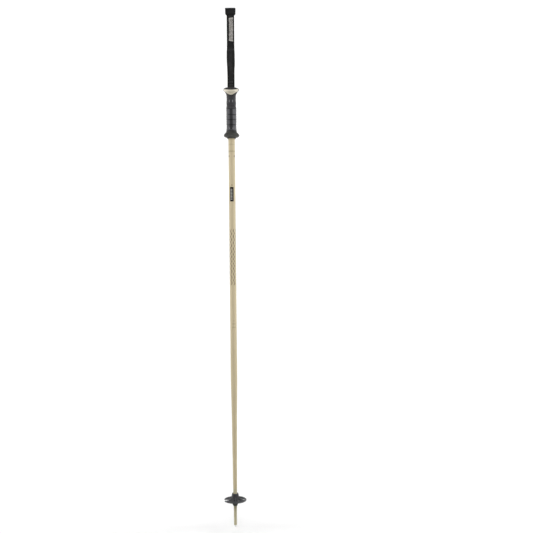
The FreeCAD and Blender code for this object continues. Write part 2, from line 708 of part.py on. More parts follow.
def slider_block():
    top = GRIP_TOP + SLIDER_TOP_ABOVE
    low = top - SLIDER_HEIGHT
    half = SLIDER_WIDTH / 2
    deep = SLIDER_DEPTH / 2
    block = box(-half, half, -deep, deep, low, top)
    block = block.makeFillet(SLIDER_TOP_ROUND, edges_at(block, top))
    foot = [e for e in edges_at(block, low) if all(abs(abs(v.X) - half) < ON_PLANE for v in e.Vertexes)]
    block = block.makeFillet(SLIDER_FOOT_ROUND, foot)
    front_gap = LOOP_PLY_GAP / 2 + WEB_THICKNESS + PRINT_THICKNESS + SLIDER_FACE_GAP
    rear_gap = LOOP_PLY_GAP / 2 + WEB_THICKNESS + SLIDER_FACE_GAP
    side = WEB_WIDTH / 2 + SLIDER_SIDE_GAP
    return block.cut(box(-side, side, -front_gap, rear_gap, low - CUT_PAST, top + CUT_PAST))


def rivet_holes(extra):
    x = (WEB_WIDTH / 2 + SLIDER_SIDE_GAP + SLIDER_WIDTH / 2) / 2
    z = GRIP_TOP + SLIDER_TOP_ABOVE - SLIDER_HEIGHT / 2
    front = -SLIDER_DEPTH / 2 + RIVET_INSET - extra
    holes = []
    for side in (-1, 1):
        start = vector(side * x, front, z)
        holes.append(Part.makeCylinder(RIVET_DIAMETER / 2 + extra, -2 * front, start, Y_AXIS))
    return holes


def make_slider_half(front):
    reach = SLIDER_WIDTH
    low = GRIP_TOP + SLIDER_TOP_ABOVE - SLIDER_HEIGHT
    top = GRIP_TOP + SLIDER_TOP_ABOVE
    y0, y1 = (-reach, 0) if front else (0, reach)
    half = slider_block().common(box(-reach, reach, y0, y1, low, top))
    for hole in rivet_holes(FIXED_FIT):
        half = half.cut(hole)
    if front:
        face = -SLIDER_DEPTH / 2
        inset_x = SLIDER_WIDTH / 2 - SLIDER_RECESS_MARGIN
        recess = box(-inset_x, inset_x, face - CUT_PAST, face + SLIDER_RECESS_DEPTH,
                     low + SLIDER_RECESS_MARGIN, top - SLIDER_RECESS_MARGIN)
        half = half.cut(recess)
    return half


def make_slider_rivets():
    return Part.makeCompound(rivet_holes(0))


def build():
    return {
        "shaft": make_shaft(),
        "ferrule": make_ferrule(),
        "steel_tip": make_steel_tip(),
        "basket": make_basket(),
        "basket_lock_ring": make_basket_lock_ring(),
        "grip_core": make_grip_core(),
        "grip_sleeve": make_grip_sleeve(),
        "grip_spine": make_grip_spine(),
        "hand_stop": make_hand_stop(),
        "head_shell": make_head_shell(),
        "head_cap": make_head_cap(),
        "front_badge": make_front_badge(),
        "strap_anchor_pin": make_strap_anchor_pin(),
        "head_screw": make_head_screw(),
        "strap_root": make_strap_root(),
        "strap_neck": make_strap_neck(),
        "neck_bartacks": make_neck_bartacks(),
        "strap_front_run": make_strap_front_run(),
        "strap_rear_run": make_strap_rear_run(),
        "strap_print": make_strap_print(),
        "slider_front": make_slider_half(True),
        "slider_rear": make_slider_half(False),
        "slider_rivets": make_slider_rivets(),
    }


os.makedirs("parts", exist_ok=True)
for node, shape in build().items():
    solids = len(shape.Solids)
    print(node, "solids", solids, "valid", shape.isValid(), "volume", round(shape.Volume, 1))
    shape.exportStep("parts/" + node + ".step")
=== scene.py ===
import bmesh
import bpy
import math
import random
from mathutils import Matrix, Vector


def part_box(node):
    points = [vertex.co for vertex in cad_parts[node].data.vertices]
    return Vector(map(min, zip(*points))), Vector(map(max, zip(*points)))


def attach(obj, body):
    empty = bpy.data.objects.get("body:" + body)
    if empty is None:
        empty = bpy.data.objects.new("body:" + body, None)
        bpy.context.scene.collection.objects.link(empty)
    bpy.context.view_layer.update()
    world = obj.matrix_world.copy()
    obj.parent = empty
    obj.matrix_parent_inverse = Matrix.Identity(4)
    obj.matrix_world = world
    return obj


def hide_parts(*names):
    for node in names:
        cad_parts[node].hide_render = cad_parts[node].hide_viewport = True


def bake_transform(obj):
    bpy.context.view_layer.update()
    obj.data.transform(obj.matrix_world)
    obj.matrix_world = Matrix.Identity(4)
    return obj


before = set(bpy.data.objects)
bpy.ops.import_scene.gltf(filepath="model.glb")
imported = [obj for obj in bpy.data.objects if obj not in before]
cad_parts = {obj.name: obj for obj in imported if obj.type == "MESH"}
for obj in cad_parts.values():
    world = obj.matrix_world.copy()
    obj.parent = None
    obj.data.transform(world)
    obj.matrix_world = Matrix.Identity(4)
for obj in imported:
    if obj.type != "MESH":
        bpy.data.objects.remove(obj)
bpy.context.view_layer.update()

# Ski pole, in metres, in the frame's own axes: +Z up the shaft, -Y the front.

MM = 0.001

GRIP_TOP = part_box("head_cap")[1].z
GRIP_DEPTH_RATIO = 1.22         # front-to-back size of the grip over its width
OVAL_POWER = 2.25               # 2 is a plain ellipse, more is boxier


def down(distance_mm):
    """Height of a point this far below the top of the grip."""
    return GRIP_TOP - distance_mm * MM


# ---------------------------------------------------------------- mesh helpers

def link(name, mesh):
    thing = bpy.data.objects.new(name, mesh)
    bpy.context.scene.collection.objects.link(thing)
    return thing


def mesh_from(name, points, faces):
    mesh = bpy.data.meshes.new(name)
    mesh.from_pydata([tuple(p) for p in points], [], faces)
    mesh.validate()
    work = bmesh.new()
    work.from_mesh(mesh)
    bmesh.ops.remove_doubles(work, verts=work.verts, dist=1e-7)
    bmesh.ops.recalc_face_normals(work, faces=work.faces)
    work.to_mesh(mesh)
    work.free()
    return mesh


def smooth(piece, sharp_angle=35):
    piece.data.shade_smooth()
    piece.data.set_sharp_from_angle(angle=math.radians(sharp_angle))
    return piece


def bevel(piece, width_mm, segments=3, angle=32):
    edge = piece.modifiers.new("edges", "BEVEL")
    edge.width = width_mm * MM
    edge.segments = segments
    edge.limit_method = "ANGLE"
    edge.angle_limit = math.radians(angle)
    edge.harden_normals = True
    edge.use_clamp_overlap = True
    return piece


def applied(piece):
    """Applies the piece's modifiers to its mesh."""
    bpy.context.view_layer.update()
    result = bpy.data.meshes.new_from_object(piece.evaluated_get(bpy.context.evaluated_depsgraph_get()))
    piece.modifiers.clear()
    piece.data = result
    return piece


def settle(piece, body, slot_name, paint, *nodes):
    """Gives a finished piece its material and body, and hides the CAD nodes that it stands for."""
    piece.data.materials.clear()
    piece.data.materials.append(paint)
    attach(piece, body)
    if nodes:
        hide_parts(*nodes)
    return piece


def curve_through(points):
    """Natural cubic spline: a function of height that passes through (value, height) points."""
    heights = [h for v, h in points]
    values = [v for v, h in points]
    count = len(points)
    gaps = [heights[i + 1] - heights[i] for i in range(count - 1)]
    bend = [0.0] * count
    ratio = [0.0] * count
    carry = [0.0] * count
    for i in range(1, count - 1):
        slope_change = (values[i + 1] - values[i]) / gaps[i] - (values[i] - values[i - 1]) / gaps[i - 1]
        pivot = 2 * (gaps[i - 1] + gaps[i]) - gaps[i - 1] * ratio[i - 1]
        ratio[i] = gaps[i] / pivot
        carry[i] = (6 * slope_change - gaps[i - 1] * carry[i - 1]) / pivot
    for i in range(count - 2, 0, -1):
        bend[i] = carry[i] - ratio[i] * bend[i + 1]

    def value(height):
        i = 0
        while i < count - 2 and height > heights[i + 1]:
            i += 1
        h = gaps[i]
        a = (heights[i + 1] - height) / h
        b = 1 - a
        cubic = ((a ** 3 - a) * bend[i] + (b ** 3 - b) * bend[i + 1]) * h * h / 6
        return a * values[i] + b * values[i + 1] + cubic

    return value


def steps(start, end, count):
    return [start + (end - start) * i / count for i in range(count + 1)]


def soft_step(x, start, end):
    t = min(max((x - start) / (end - start), 0.0), 1.0)
    return t * t * (3 - 2 * t)


def oval_point(angle, half_width, power=OVAL_POWER, ratio=GRIP_DEPTH_RATIO):
    """Point of a rounded oval. Angle 0 is the front, -Y, and 90 degrees is +X."""
    across = math.sin(angle)
    ahead = math.cos(angle)
    x = half_width * math.copysign(abs(across) ** (2 / power), across)
    y = -half_width * ratio * math.copysign(abs(ahead) ** (2 / power), ahead)
    return x, y


def turned(name, outline, segments=128, power=2.0, ratio=1.0):
    """Closed solid of revolution of (radius, height) points in metres; a closed loop, or open on the axis."""
    points = []
    rings = []
    for radius, height in outline:
        ring = []
        if radius < 1e-7:
            ring = [len(points)] * segments
            points.append((0, 0, height))
        else:
            for i in range(segments):
                x, y = oval_point(2 * math.pi * i / segments, radius, power, ratio)
                ring.append(len(points))
                points.append((x, y, height))
        rings.append(ring)
    on_axis = outline[0][0] < 1e-7 and outline[-1][0] < 1e-7
    pairs = list(zip(rings, rings[1:]))
    if not on_axis:
        pairs.append((rings[-1], rings[0]))
    faces = []
    for low, high in pairs:
        for i in range(segments):
            j = (i + 1) % segments
            corners = [low[i], low[j], high[j], high[i]]
            faces.append(list(dict.fromkeys(corners)))
    return link(name, mesh_from(name, points, faces))


def prism(name, corners, low, high):
    """Upright solid over a flat outline of (x, y) corners."""
    count = len(corners)
    points = [(x, y, low) for x, y in corners] + [(x, y, high) for x, y in corners]
    faces = [list(range(count))[::-1], list(range(count, 2 * count))]
    for i in range(count):
        j = (i + 1) % count
        faces.append([i, j, count + j, count + i])
    return link(name, mesh_from(name, points, faces))


def rounded_corners(corners, radius, count=5, least_turn=40):
    """The outline with each sharp corner replaced by a short arc-like curve."""
    result = []
    total = len(corners)
    for i in range(total):
        here = Vector(corners[i])
        before = Vector(corners[i - 1]) - here
        after = Vector(corners[(i + 1) % total]) - here
        turn = 180 - math.degrees(before.angle(after))
        if turn < least_turn:
            result.append(tuple(here))
            continue
        reach = min(radius, before.length * 0.45, after.length * 0.45)
        start = here + before.normalized() * reach
        end = here + after.normalized() * reach
        for t in steps(0, 1, count):
            result.append(tuple((1 - t) ** 2 * start + 2 * t * (1 - t) * here + t * t * end))
    return result


def cut_or_join(target, tool, how):
    action = target.modifiers.new("shape", "BOOLEAN")
    action.operation = how
    action.object = tool
    action.solver = "EXACT"
    applied(target)
    bpy.data.objects.remove(tool)
    return target


# ---------------------------------------------------------------- material helpers

def srgb(red, green, blue):
    """Linear colour of an 8-bit screen colour."""
    def linear(value):
        share = value / 255
        return share / 12.92 if share <= 0.04045 else ((share + 0.055) / 1.055) ** 2.4
    return (linear(red), linear(green), linear(blue), 1)


class Paint:
    """A material and short names for the nodes that these finishes use."""

    def __init__(self, name):
        self.material = bpy.data.materials.new(name)
        self.material.use_nodes = True
        self.tree = self.material.node_tree
        self.shader = self.tree.nodes["Principled BSDF"]
        self.place = self.node("ShaderNodeTexCoord").outputs["Object"]
        axes = self.node("ShaderNodeSeparateXYZ")
        self.tree.links.new(self.place, axes.inputs[0])
        self.x, self.y, self.z = axes.outputs[0], axes.outputs[1], axes.outputs[2]

    def node(self, kind, **settings):
        made = self.tree.nodes.new(kind)
        for key, value in settings.items():
            setattr(made, key, value)
        return made

    def feed(self, socket, value):
        if isinstance(value, bpy.types.NodeSocket):
            self.tree.links.new(value, socket)
        else:
            socket.default_value = value

    def math(self, operation, a, b=0.0, c=0.0, clamp=False):
        made = self.node("ShaderNodeMath", operation=operation, use_clamp=clamp)
        for socket, value in zip(made.inputs, (a, b, c)):
            self.feed(socket, value)
        return made.outputs[0]

    def noise(self, scale, detail=3.0, roughness=0.5, vector=None, distortion=0.0):
        made = self.node("ShaderNodeTexNoise")
        self.feed(made.inputs["Vector"], vector or self.place)
        made.inputs["Scale"].default_value = scale
        made.inputs["Detail"].default_value = detail
        made.inputs["Roughness"].default_value = roughness
        made.inputs["Distortion"].default_value = distortion
        return made.outputs["Fac"]

    def cells(self, scale, vector=None, feature="F1"):
        made = self.node("ShaderNodeTexVoronoi", feature=feature)
        self.feed(made.inputs["Vector"], vector or self.place)
        made.inputs["Scale"].default_value = scale
        return made.outputs["Distance"]

    def stretched(self, x, y, z):
        made = self.node("ShaderNodeVectorMath", operation="MULTIPLY")
        self.feed(made.inputs[0], self.place)
        made.inputs[1].default_value = (x, y, z)
        return made.outputs[0]

    def combine(self, x, y, z=0.0):
        made = self.node("ShaderNodeCombineXYZ")
        for socket, value in zip(made.inputs, (x, y, z)):
            self.feed(socket, value)
        return made.outputs[0]

    def band(self, value, start, end):
        """Smooth 0 to 1 as value goes from start to end."""
        made = self.node("ShaderNodeMapRange", interpolation_type="SMOOTHSTEP")
        self.feed(made.inputs["Value"], value)
        made.inputs["From Min"].default_value = start
        made.inputs["From Max"].default_value = end
        return made.outputs[0]

    def window(self, value, low, high, edge):
        """1 inside low to high, 0 outside, with a soft edge."""
        rise = self.band(value, low - edge, low + edge)
        fall = self.band(value, high + edge, high - edge)
        return self.math("MULTIPLY", rise, fall)

    def mix(self, share, first, second):
        made = self.node("ShaderNodeMix", data_type="RGBA")
        self.feed(made.inputs["Factor"], share)
        self.feed(made.inputs[6], first)
        self.feed(made.inputs[7], second)
        return made.outputs[2]

    def blend(self, share, first, second):
        """Number between first and second."""
        made = self.node("ShaderNodeMix", data_type="FLOAT")
        self.feed(made.inputs["Factor"], share)
        self.feed(made.inputs[2], first)
        self.feed(made.inputs[3], second)
        return made.outputs[0]

    def edge_wear(self, low=0.52, high=0.62):
        geometry = self.node("ShaderNodeNewGeometry")
        return self.band(geometry.outputs["Pointiness"], low, high)

    def bump(self, height, distance_mm, strength=1.0, onto=None):
        made = self.node("ShaderNodeBump")
        self.feed(made.inputs["Height"], height)
        made.inputs["Distance"].default_value = distance_mm * MM
        made.inputs["Strength"].default_value = strength
        if onto is not None:
            self.feed(made.inputs["Normal"], onto)
        return made.outputs[0]

    def finish(self, color, roughness, normal=None, metallic=0.0, **fixed):
        self.feed(self.shader.inputs["Base Color"], color)
        self.feed(self.shader.inputs["Roughness"], roughness)
        self.shader.inputs["Metallic"].default_value = metallic
        if normal is not None:
            self.feed(self.shader.inputs["Normal"], normal)
        for name, value in fixed.items():
            self.shader.inputs[name.replace("_", " ")].default_value = value
        return self.material


# ---------------------------------------------------------------- materials

def plastic(name, color, light_color, roughness, grain_scale, grain_mm, wear=0.35, gloss=0.45):
    """Moulded plastic or rubber: fine grain, cloudy colour, dulled patches and paler worn edges."""
    paint = Paint(name)
    cloud = paint.noise(90, 4, 0.6)
    grain = paint.noise(grain_scale, 2, 0.6)
    worn = paint.math("MULTIPLY", paint.edge_wear(), wear)
    tone = paint.math("ADD", paint.math("MULTIPLY", paint.band(cloud, 0.3, 0.7), 0.30), worn, clamp=True)
    shade = paint.mix(tone, color, light_color)
    rough = paint.blend(paint.band(cloud, 0.35, 0.65), roughness - 0.05, roughness + 0.07)
    normal = paint.bump(grain, grain_mm)
    return paint.finish(shade, rough, normal, Specular_IOR_Level=gloss)


def brushed_metal(name, color, roughness):
    paint = Paint(name)
    lines = paint.noise(260, 3, 0.7, paint.stretched(1.0, 1.0, 14.0))
    scratches = paint.noise(900, 1, 0.5, paint.stretched(1.0, 1.0, 0.15))
    shade = paint.mix(paint.band(lines, 0.3, 0.7), color, tuple(0.72 * c for c in color[:3]) + (1,))
    rough = paint.blend(scratches, roughness - 0.08, roughness + 0.14)
    return paint.finish(shade, rough, paint.bump(lines, 0.03), metallic=1.0)


SHAFT_RADIUS_MM = 9.0
INK = srgb(58, 50, 36)
LABEL_INK = srgb(26, 23, 18)
LABEL_MARK = srgb(214, 212, 205)


def shaft_paint():
    """Beige lacquer over the tube, with plain printed bands, dots, a dark tag and wavy lines."""
    paint = Paint("shaft_lacquer")
    height = paint.math("MULTIPLY", paint.z, 1000)
    angle = paint.math("ARCTAN2", paint.x, paint.math("MULTIPLY", paint.y, -1))
    around = paint.math("MULTIPLY", angle, SHAFT_RADIUS_MM)

    cloud = paint.noise(24, 4, 0.55, paint.stretched(1, 1, 0.25))
    flake = paint.cells(2600)
    drawn = paint.noise(420, 2, 0.6, paint.stretched(1, 1, 0.02))
    base = paint.mix(paint.band(cloud, 0.3, 0.7), srgb(186, 173, 143), srgb(194, 181, 151))
    low_tone = paint.band(height, 700, 150)
    base = paint.mix(paint.math("MULTIPLY", low_tone, 0.8), base, srgb(178, 166, 136))
    glint = paint.math("MULTIPLY", paint.band(flake, 0.30, 0.05), 0.10)
    base = paint.mix(glint, base, srgb(214, 204, 178))

    base = paint.mix(paint.math("MULTIPLY", wavy_lines(paint, height, around), 0.80), base, INK)
    for low, high, strength in ((1043.4, 1046.2, 0.16), (1024.4, 1028.0, 0.24), (1027.2, 1028.2, 0.20),
                                (1024.2, 1025.0, 0.20)):
        base = paint.mix(paint.math("MULTIPLY", paint.window(height, low, high, 0.25), strength), base, INK)
    for side in (-1, 1):
        base = paint.mix(spot(paint, height, around, 1013.0, side * 8.6, 2.2, 2.6), base, INK)
    base = paint.mix(spot(paint, height, around, 934.0, 0.2, 1.5, 1.6), base, INK)
    for middle, half, strength in ((563.6, 3.0, 0.25), (555.4, 5.0, 0.42), (546.4, 5.0, 0.42)):
        bar = paint.math("MULTIPLY", paint.window(height, middle - 0.8, middle + 0.8, 0.25),
                         paint.window(around, 2.0 - half, 2.0 + half, 0.3))
        base = paint.mix(paint.math("MULTIPLY", bar, strength), base, INK)
    tag, marks = dark_tag(paint, height, around)
    base = paint.mix(tag, base, LABEL_INK)
    base = paint.mix(marks, base, LABEL_MARK)

    scuff = paint.noise(55, 5, 0.7, paint.stretched(1, 1, 0.35))
    scuffed = paint.math("MULTIPLY", paint.band(scuff, 0.60, 0.72), paint.band(height, 420, 130))
    base = paint.mix(paint.math("MULTIPLY", scuffed, 0.25), base, srgb(150, 140, 118))
    rough = paint.blend(paint.band(drawn, 0.3, 0.7), 0.40, 0.50)
    rough = paint.math("ADD", rough, paint.math("MULTIPLY", scuffed, 0.2))
    peel = paint.bump(paint.noise(700, 2, 0.5), 0.012)
    normal = paint.bump(drawn, 0.006, onto=peel)
    return paint.finish(base, rough, normal, Specular_IOR_Level=0.15,
                        Coat_Weight=0.04, Coat_Roughness=0.22)


def spot(paint, height, around, middle, offset, half_width, half_height):
    """Soft-edged oval dot printed on the shaft."""
    across = paint.math("DIVIDE", paint.math("SUBTRACT", around, offset), half_width)
    upward = paint.math("DIVIDE", paint.math("SUBTRACT", height, middle), half_height)
    distance = paint.math("SQRT", paint.math("ADD", paint.math("MULTIPLY", across, across),
                                             paint.math("MULTIPLY", upward, upward)))
    return paint.math("MULTIPLY", paint.band(distance, 1.1, 0.9), 0.85)


WAVE_LOW, WAVE_HIGH = 661.0, 814.0
WAVE_LINES = 7
WAVE_LENGTH = 14.8


def wavy_lines(paint, height, around):
    """Lines that run up the shaft and sway, closing into loose meshes here and there."""
    pitch = 2 * math.pi * SHAFT_RADIUS_MM / WAVE_LINES
    drift = paint.noise(16, 1, 0.4, paint.stretched(1.6, 1.6, 1.0))
    turn = paint.math("MULTIPLY", height, 2 * math.pi / WAVE_LENGTH)
    phase = paint.math("MULTIPLY", drift, 9.0)
    sway = paint.math("SINE", paint.math("ADD", turn, phase))
    shift = paint.math("MULTIPLY", sway, 1.45)
    lane = paint.math("DIVIDE", paint.math("ADD", around, shift), pitch)
    share = paint.math("FRACT", lane)
    distance = paint.math("MULTIPLY", paint.math("ABSOLUTE", paint.math("SUBTRACT", share, 0.5)), pitch)
    half_line = paint.math("ADD", 0.78, paint.math("MULTIPLY", paint.math("ABSOLUTE", sway), 0.30))
    edge = paint.math("SUBTRACT", distance, half_line)
    line = paint.band(edge, 0.16, -0.16)
    return paint.math("MULTIPLY", line, paint.window(height, WAVE_LOW, WAVE_HIGH, 0.5))


def dark_tag(paint, height, around):
    """Rounded dark tag with a ladder of plain light dashes."""
    middle, half_height, half_width, corner = 909.0, 19.8, 5.3, 1.6
    offset = -0.6
    across = paint.math("ABSOLUTE", paint.math("SUBTRACT", around, offset))
    upward = paint.math("ABSOLUTE", paint.math("SUBTRACT", height, middle))
    over_x = paint.math("MAXIMUM", paint.math("SUBTRACT", across, half_width - corner), 0)
    over_z = paint.math("MAXIMUM", paint.math("SUBTRACT", upward, half_height - corner), 0)
    reach = paint.math("SQRT", paint.math("ADD", paint.math("MULTIPLY", over_x, over_x),
                                          paint.math("MULTIPLY", over_z, over_z)))
    tag = paint.band(reach, corner + 0.12, corner - 0.12)
    rung = paint.math("FRACT", paint.math("DIVIDE", height, 3.9))
    dash = paint.window(rung, 0.24, 0.76, 0.05)
    column = paint.window(around, offset - 3.4, offset + 1.6, 0.15)
    rows = paint.window(height, middle - 15.2, middle + 15.2, 0.2)
    marks = paint.math("MULTIPLY", paint.math("MULTIPLY", dash, column), rows)
    return tag, paint.math("MULTIPLY", marks, 0.62)


def ferrule_paint():
    """Beige moulded plastic with painted shade below the lock ring and under the basket, and a scuffed lower end."""
    paint = Paint("ferrule_plastic")
    height = paint.math("MULTIPLY", paint.z, 1000)
    cloud = paint.noise(90, 4, 0.6)
    grain = paint.noise(1500, 2, 0.6)
    worn = paint.math("MULTIPLY", paint.edge_wear(), 0.35)
    tone = paint.math("ADD", paint.math("MULTIPLY", paint.band(cloud, 0.3, 0.7), 0.30), worn, clamp=True)
    shade = paint.mix(tone, srgb(166, 159, 132), srgb(186, 179, 153))
    # Painted shade: a dark greenish band from 40 to 78 mm up, below the lock ring and under the basket.
    painted_shade = paint.math("MULTIPLY", paint.math("MULTIPLY", paint.band(height, 40, 59), paint.band(height, 78, 66)), 0.62)
    shade = paint.mix(painted_shade, shade, srgb(92, 95, 74))
    scuff = paint.band(paint.noise(300, 4, 0.7, paint.stretched(1, 1, 0.3)), 0.55, 0.70)
    scuffed = paint.math("MULTIPLY", paint.math("MULTIPLY", scuff, paint.band(height, 30, 10)), 0.3)
    shade = paint.mix(scuffed, shade, srgb(140, 132, 108))
    rough = paint.blend(paint.band(cloud, 0.35, 0.65), 0.45, 0.57)
    return paint.finish(shade, rough, paint.bump(grain, 0.02), Specular_IOR_Level=0.2)


def webbing_paint():
    """Woven strap: a ribbed middle band between smoother edges, from the piece's own lengthwise map."""
    paint = Paint("webbing_weave")
    mapped = paint.node("ShaderNodeUVMap", uv_map="weave")
    axes = paint.node("ShaderNodeSeparateXYZ")
    paint.tree.links.new(mapped.outputs[0], axes.inputs[0])
    across = paint.math("MULTIPLY", axes.outputs[0], 1000)
    along = paint.math("MULTIPLY", axes.outputs[1], 1000)
    middle = paint.band(paint.math("ABSOLUTE", across), 5.6, 4.6)

    rib = paint.math("SINE", paint.math("MULTIPLY", along, 2 * math.pi / 1.5))
    warp = paint.math("SINE", paint.math("MULTIPLY", across, 2 * math.pi / 0.95))
    basket = paint.math("MULTIPLY", rib, warp)
    slope = paint.math("ADD", along, paint.math("MULTIPLY", paint.math("ABSOLUTE", across), 1.2))
    twill = paint.math("SINE", paint.math("MULTIPLY", slope, 2 * math.pi / 1.3))
    fibre = paint.noise(5200, 2, 0.6, paint.combine(axes.outputs[0], paint.math("MULTIPLY", axes.outputs[1], 0.2)))
    weave = paint.blend(middle, paint.math("MULTIPLY", twill, 0.55), basket)
    height = paint.math("ADD", weave, paint.math("MULTIPLY", fibre, 0.8))

    lit = paint.band(weave, -1.0, 1.0)
    edge_shade = paint.mix(lit, srgb(9, 9, 9), srgb(20, 20, 20))
    middle_shade = paint.mix(lit, srgb(18, 18, 18), srgb(42, 42, 42))
    shade = paint.mix(middle, edge_shade, middle_shade)
    # Painted shade: the upper part of the loop, about 1292 to 1328 mm up, is darkened.
    painted_upper_shade = paint.window(paint.math("MULTIPLY", paint.z, 1000), 1292, 1328, 12)
    shade = paint.mix(paint.math("MULTIPLY", painted_upper_shade, 0.6), shade, srgb(8, 8, 8))
    dust = paint.band(paint.noise(42, 4, 0.65), 0.50, 0.72)
    shade = paint.mix(paint.math("MULTIPLY", dust, 0.10), shade, srgb(120, 118, 114))
    rough = paint.blend(lit, 0.92, 0.72)
    return paint.finish(shade, rough, paint.bump(height, 0.16), Specular_IOR_Level=0.25,
                        Sheen_Weight=0.08, Sheen_Roughness=0.45)


def thread_paint():
    paint = Paint("stitch_thread")
    twist = paint.noise(3600, 2, 0.6)
    shade = paint.mix(twist, srgb(34, 34, 34), srgb(88, 88, 86))
    return paint.finish(shade, paint.blend(twist, 0.65, 0.8), paint.bump(twist, 0.08),
                        Specular_IOR_Level=0.3, Sheen_Weight=0.2)


def print_paint():
    """Rubbery pale print that follows the weave below it and has worn thin in places."""
    paint = Paint("strap_print_ink")
    weave_x = paint.math("SINE", paint.math("MULTIPLY", paint.x, 2000 * math.pi / 0.95))
    weave_z = paint.math("SINE", paint.math("MULTIPLY", paint.z, 2000 * math.pi / 1.5))
    weave = paint.math("MULTIPLY", weave_x, weave_z)
    cloud = paint.noise(260, 4, 0.65)
    tone = paint.mix(paint.band(cloud, 0.3, 0.7), srgb(150, 146, 141), srgb(182, 178, 173))
    pits = paint.math("MULTIPLY", paint.band(weave, -0.55, -0.95), paint.band(cloud, 0.45, 0.6))
    tone = paint.mix(paint.math("MULTIPLY", pits, 0.5), tone, srgb(60, 60, 60))
    return paint.finish(tone, paint.blend(cloud, 0.5, 0.65), paint.bump(weave, 0.05), Specular_IOR_Level=0.4)


def badge_paint():
    paint = Paint("badge_lacquer")
    cloud = paint.noise(120, 4, 0.6)
    speck = paint.cells(3000)
    height = paint.math("MULTIPLY", paint.z, 1000)
    across = paint.math("MULTIPLY", paint.x, 1000)
    shade = paint.mix(paint.band(cloud, 0.3, 0.7), srgb(182, 175, 157), srgb(192, 185, 168))
    # Painted highlight: the top of the badge is lighter.
    shade = paint.mix(paint.band(height, 1187.6, 1189.6), shade, srgb(214, 207, 190))
    # Painted shade: a dark band along the badge's curved crease.
    bow = paint.math("MULTIPLY", paint.math("MULTIPLY", across, across), 0.02)
    off_crease = paint.math("SUBTRACT", paint.math("SUBTRACT", height, 1184.8), bow)
    painted_shade = paint.math("MULTIPLY", paint.window(off_crease, -0.9, 0.9, 0.8), paint.window(across, -7.5, 7.5, 2.5))
    shade = paint.mix(paint.math("MULTIPLY", painted_shade, 0.5), shade, srgb(140, 132, 112))
    shade = paint.mix(paint.math("MULTIPLY", paint.band(speck, 0.25, 0.05), 0.08), shade, srgb(250, 248, 240))
    shade = paint.mix(paint.math("MULTIPLY", paint.edge_wear(), 0.25), shade, srgb(246, 242, 232))
    rough = paint.blend(cloud, 0.34, 0.44)
    return paint.finish(shade, rough, paint.bump(paint.noise(900, 2, 0.5), 0.01), Specular_IOR_Level=0.3,
                        Coat_Weight=0.1, Coat_Roughness=0.2)


def grip_paint(name, dark, light, roughness):
    """Grip rubber: painted shade in the grooves and in the seam at the hand stop, lighter on the ribbed length,
    glossier where fingers rub, with painted highlights on those pads.
    """
    paint = Paint(name)
    height = paint.math("MULTIPLY", paint.z, 1000)
    side = paint.math("MULTIPLY", paint.math("ABSOLUTE", paint.x), 1000)
    cloud = paint.noise(90, 4, 0.6)
    grain = paint.noise(1900, 2, 0.6)
    pores = paint.cells(1100)
    ribbed = paint.band(height, 1146, 1139)
    tone = paint.math("ADD", paint.math("MULTIPLY", ribbed, 0.62), paint.math("MULTIPLY", cloud, 0.3), clamp=True)
    shade = paint.mix(tone, dark, light)
    rough = paint.blend(paint.band(cloud, 0.35, 0.65), roughness - 0.04, roughness + 0.08)
    # Pale patches on the raised front pads: partly real rubbing where fingers touch, glossier with lower roughness, and
    # partly a painted highlight in their colour.
    front = paint.band(paint.y, 0.0, -0.008)
    for middle, reach, strength in ((1161.5, 5.5, 0.58), (1087.2, 3.6, 0.58)):
        pad = paint.math("MULTIPLY", paint.window(side, 3.6, 5.6, 1.1), paint.window(height, middle, middle, reach))
        pad = paint.math("MULTIPLY", paint.math("MULTIPLY", pad, front), 1.0 / 0.25, clamp=True)
        polish_and_highlight = paint.math("MULTIPLY", pad, strength)
        shade = paint.mix(polish_and_highlight, shade, srgb(168, 168, 172))
        rough = paint.blend(polish_and_highlight, rough, 0.26)
    # Painted shade: the grooves are darkened.
    for distance in GROOVE_DISTANCES:
        middle = GRIP_TOP / MM - distance
        groove = paint.window(height, middle - 1.3, middle + 1.3, 0.6)
        shade = paint.mix(paint.math("MULTIPLY", groove, 0.55), shade, srgb(16, 16, 17))
    # Painted shade in the seam between the handle and the hand stop.
    seam = paint.window(height, 1079.9, 1082.2, 0.7)
    shade = paint.mix(paint.math("MULTIPLY", seam, 0.6), shade, srgb(14, 14, 15))
    normal = paint.bump(pores, 0.03, onto=paint.bump(grain, 0.05))
    return paint.finish(shade, rough, normal, Specular_IOR_Level=0.12)


GROOVE_DISTANCES = (59.0, 75.5, 89.0, 103.0)

SHAFT_PAINT = shaft_paint()
FERRULE_PLASTIC = ferrule_paint()
STEEL = brushed_metal("tip_steel", (0.88, 0.88, 0.87, 1), 0.30)
DARK_STEEL = brushed_metal("rivet_steel", (0.20, 0.20, 0.20, 1), 0.38)
BASKET_PLASTIC = plastic("basket_plastic", srgb(42, 43, 46), srgb(92, 93, 96), 0.45, 1300, 0.03, gloss=0.25)
RING_PLASTIC = plastic("lock_ring_plastic", srgb(24, 25, 21), srgb(56, 57, 50), 0.5, 1300, 0.03, gloss=0.3)
CORE_PLASTIC = plastic("core_plastic", srgb(50, 48, 46), srgb(86, 84, 80), 0.55, 1300, 0.03)
GRIP_RUBBER = grip_paint("grip_rubber", srgb(44, 43, 45), srgb(96, 96, 99), 0.44)
SPINE_RUBBER = grip_paint("spine_rubber", srgb(26, 26, 28), srgb(54, 54, 56), 0.58)
STOP_RUBBER = plastic("stop_rubber", srgb(48, 49, 46), srgb(104, 105, 100), 0.66, 420, 0.45, wear=0.25, gloss=0.2)
HEAD_PLASTIC = plastic("head_plastic", srgb(40, 39, 39), srgb(72, 71, 70), 0.46, 1500, 0.03, gloss=0.22)
CAP_PLASTIC = plastic("cap_plastic", srgb(36, 35, 34), srgb(72, 71, 68), 0.46, 1500, 0.03, gloss=0.22)
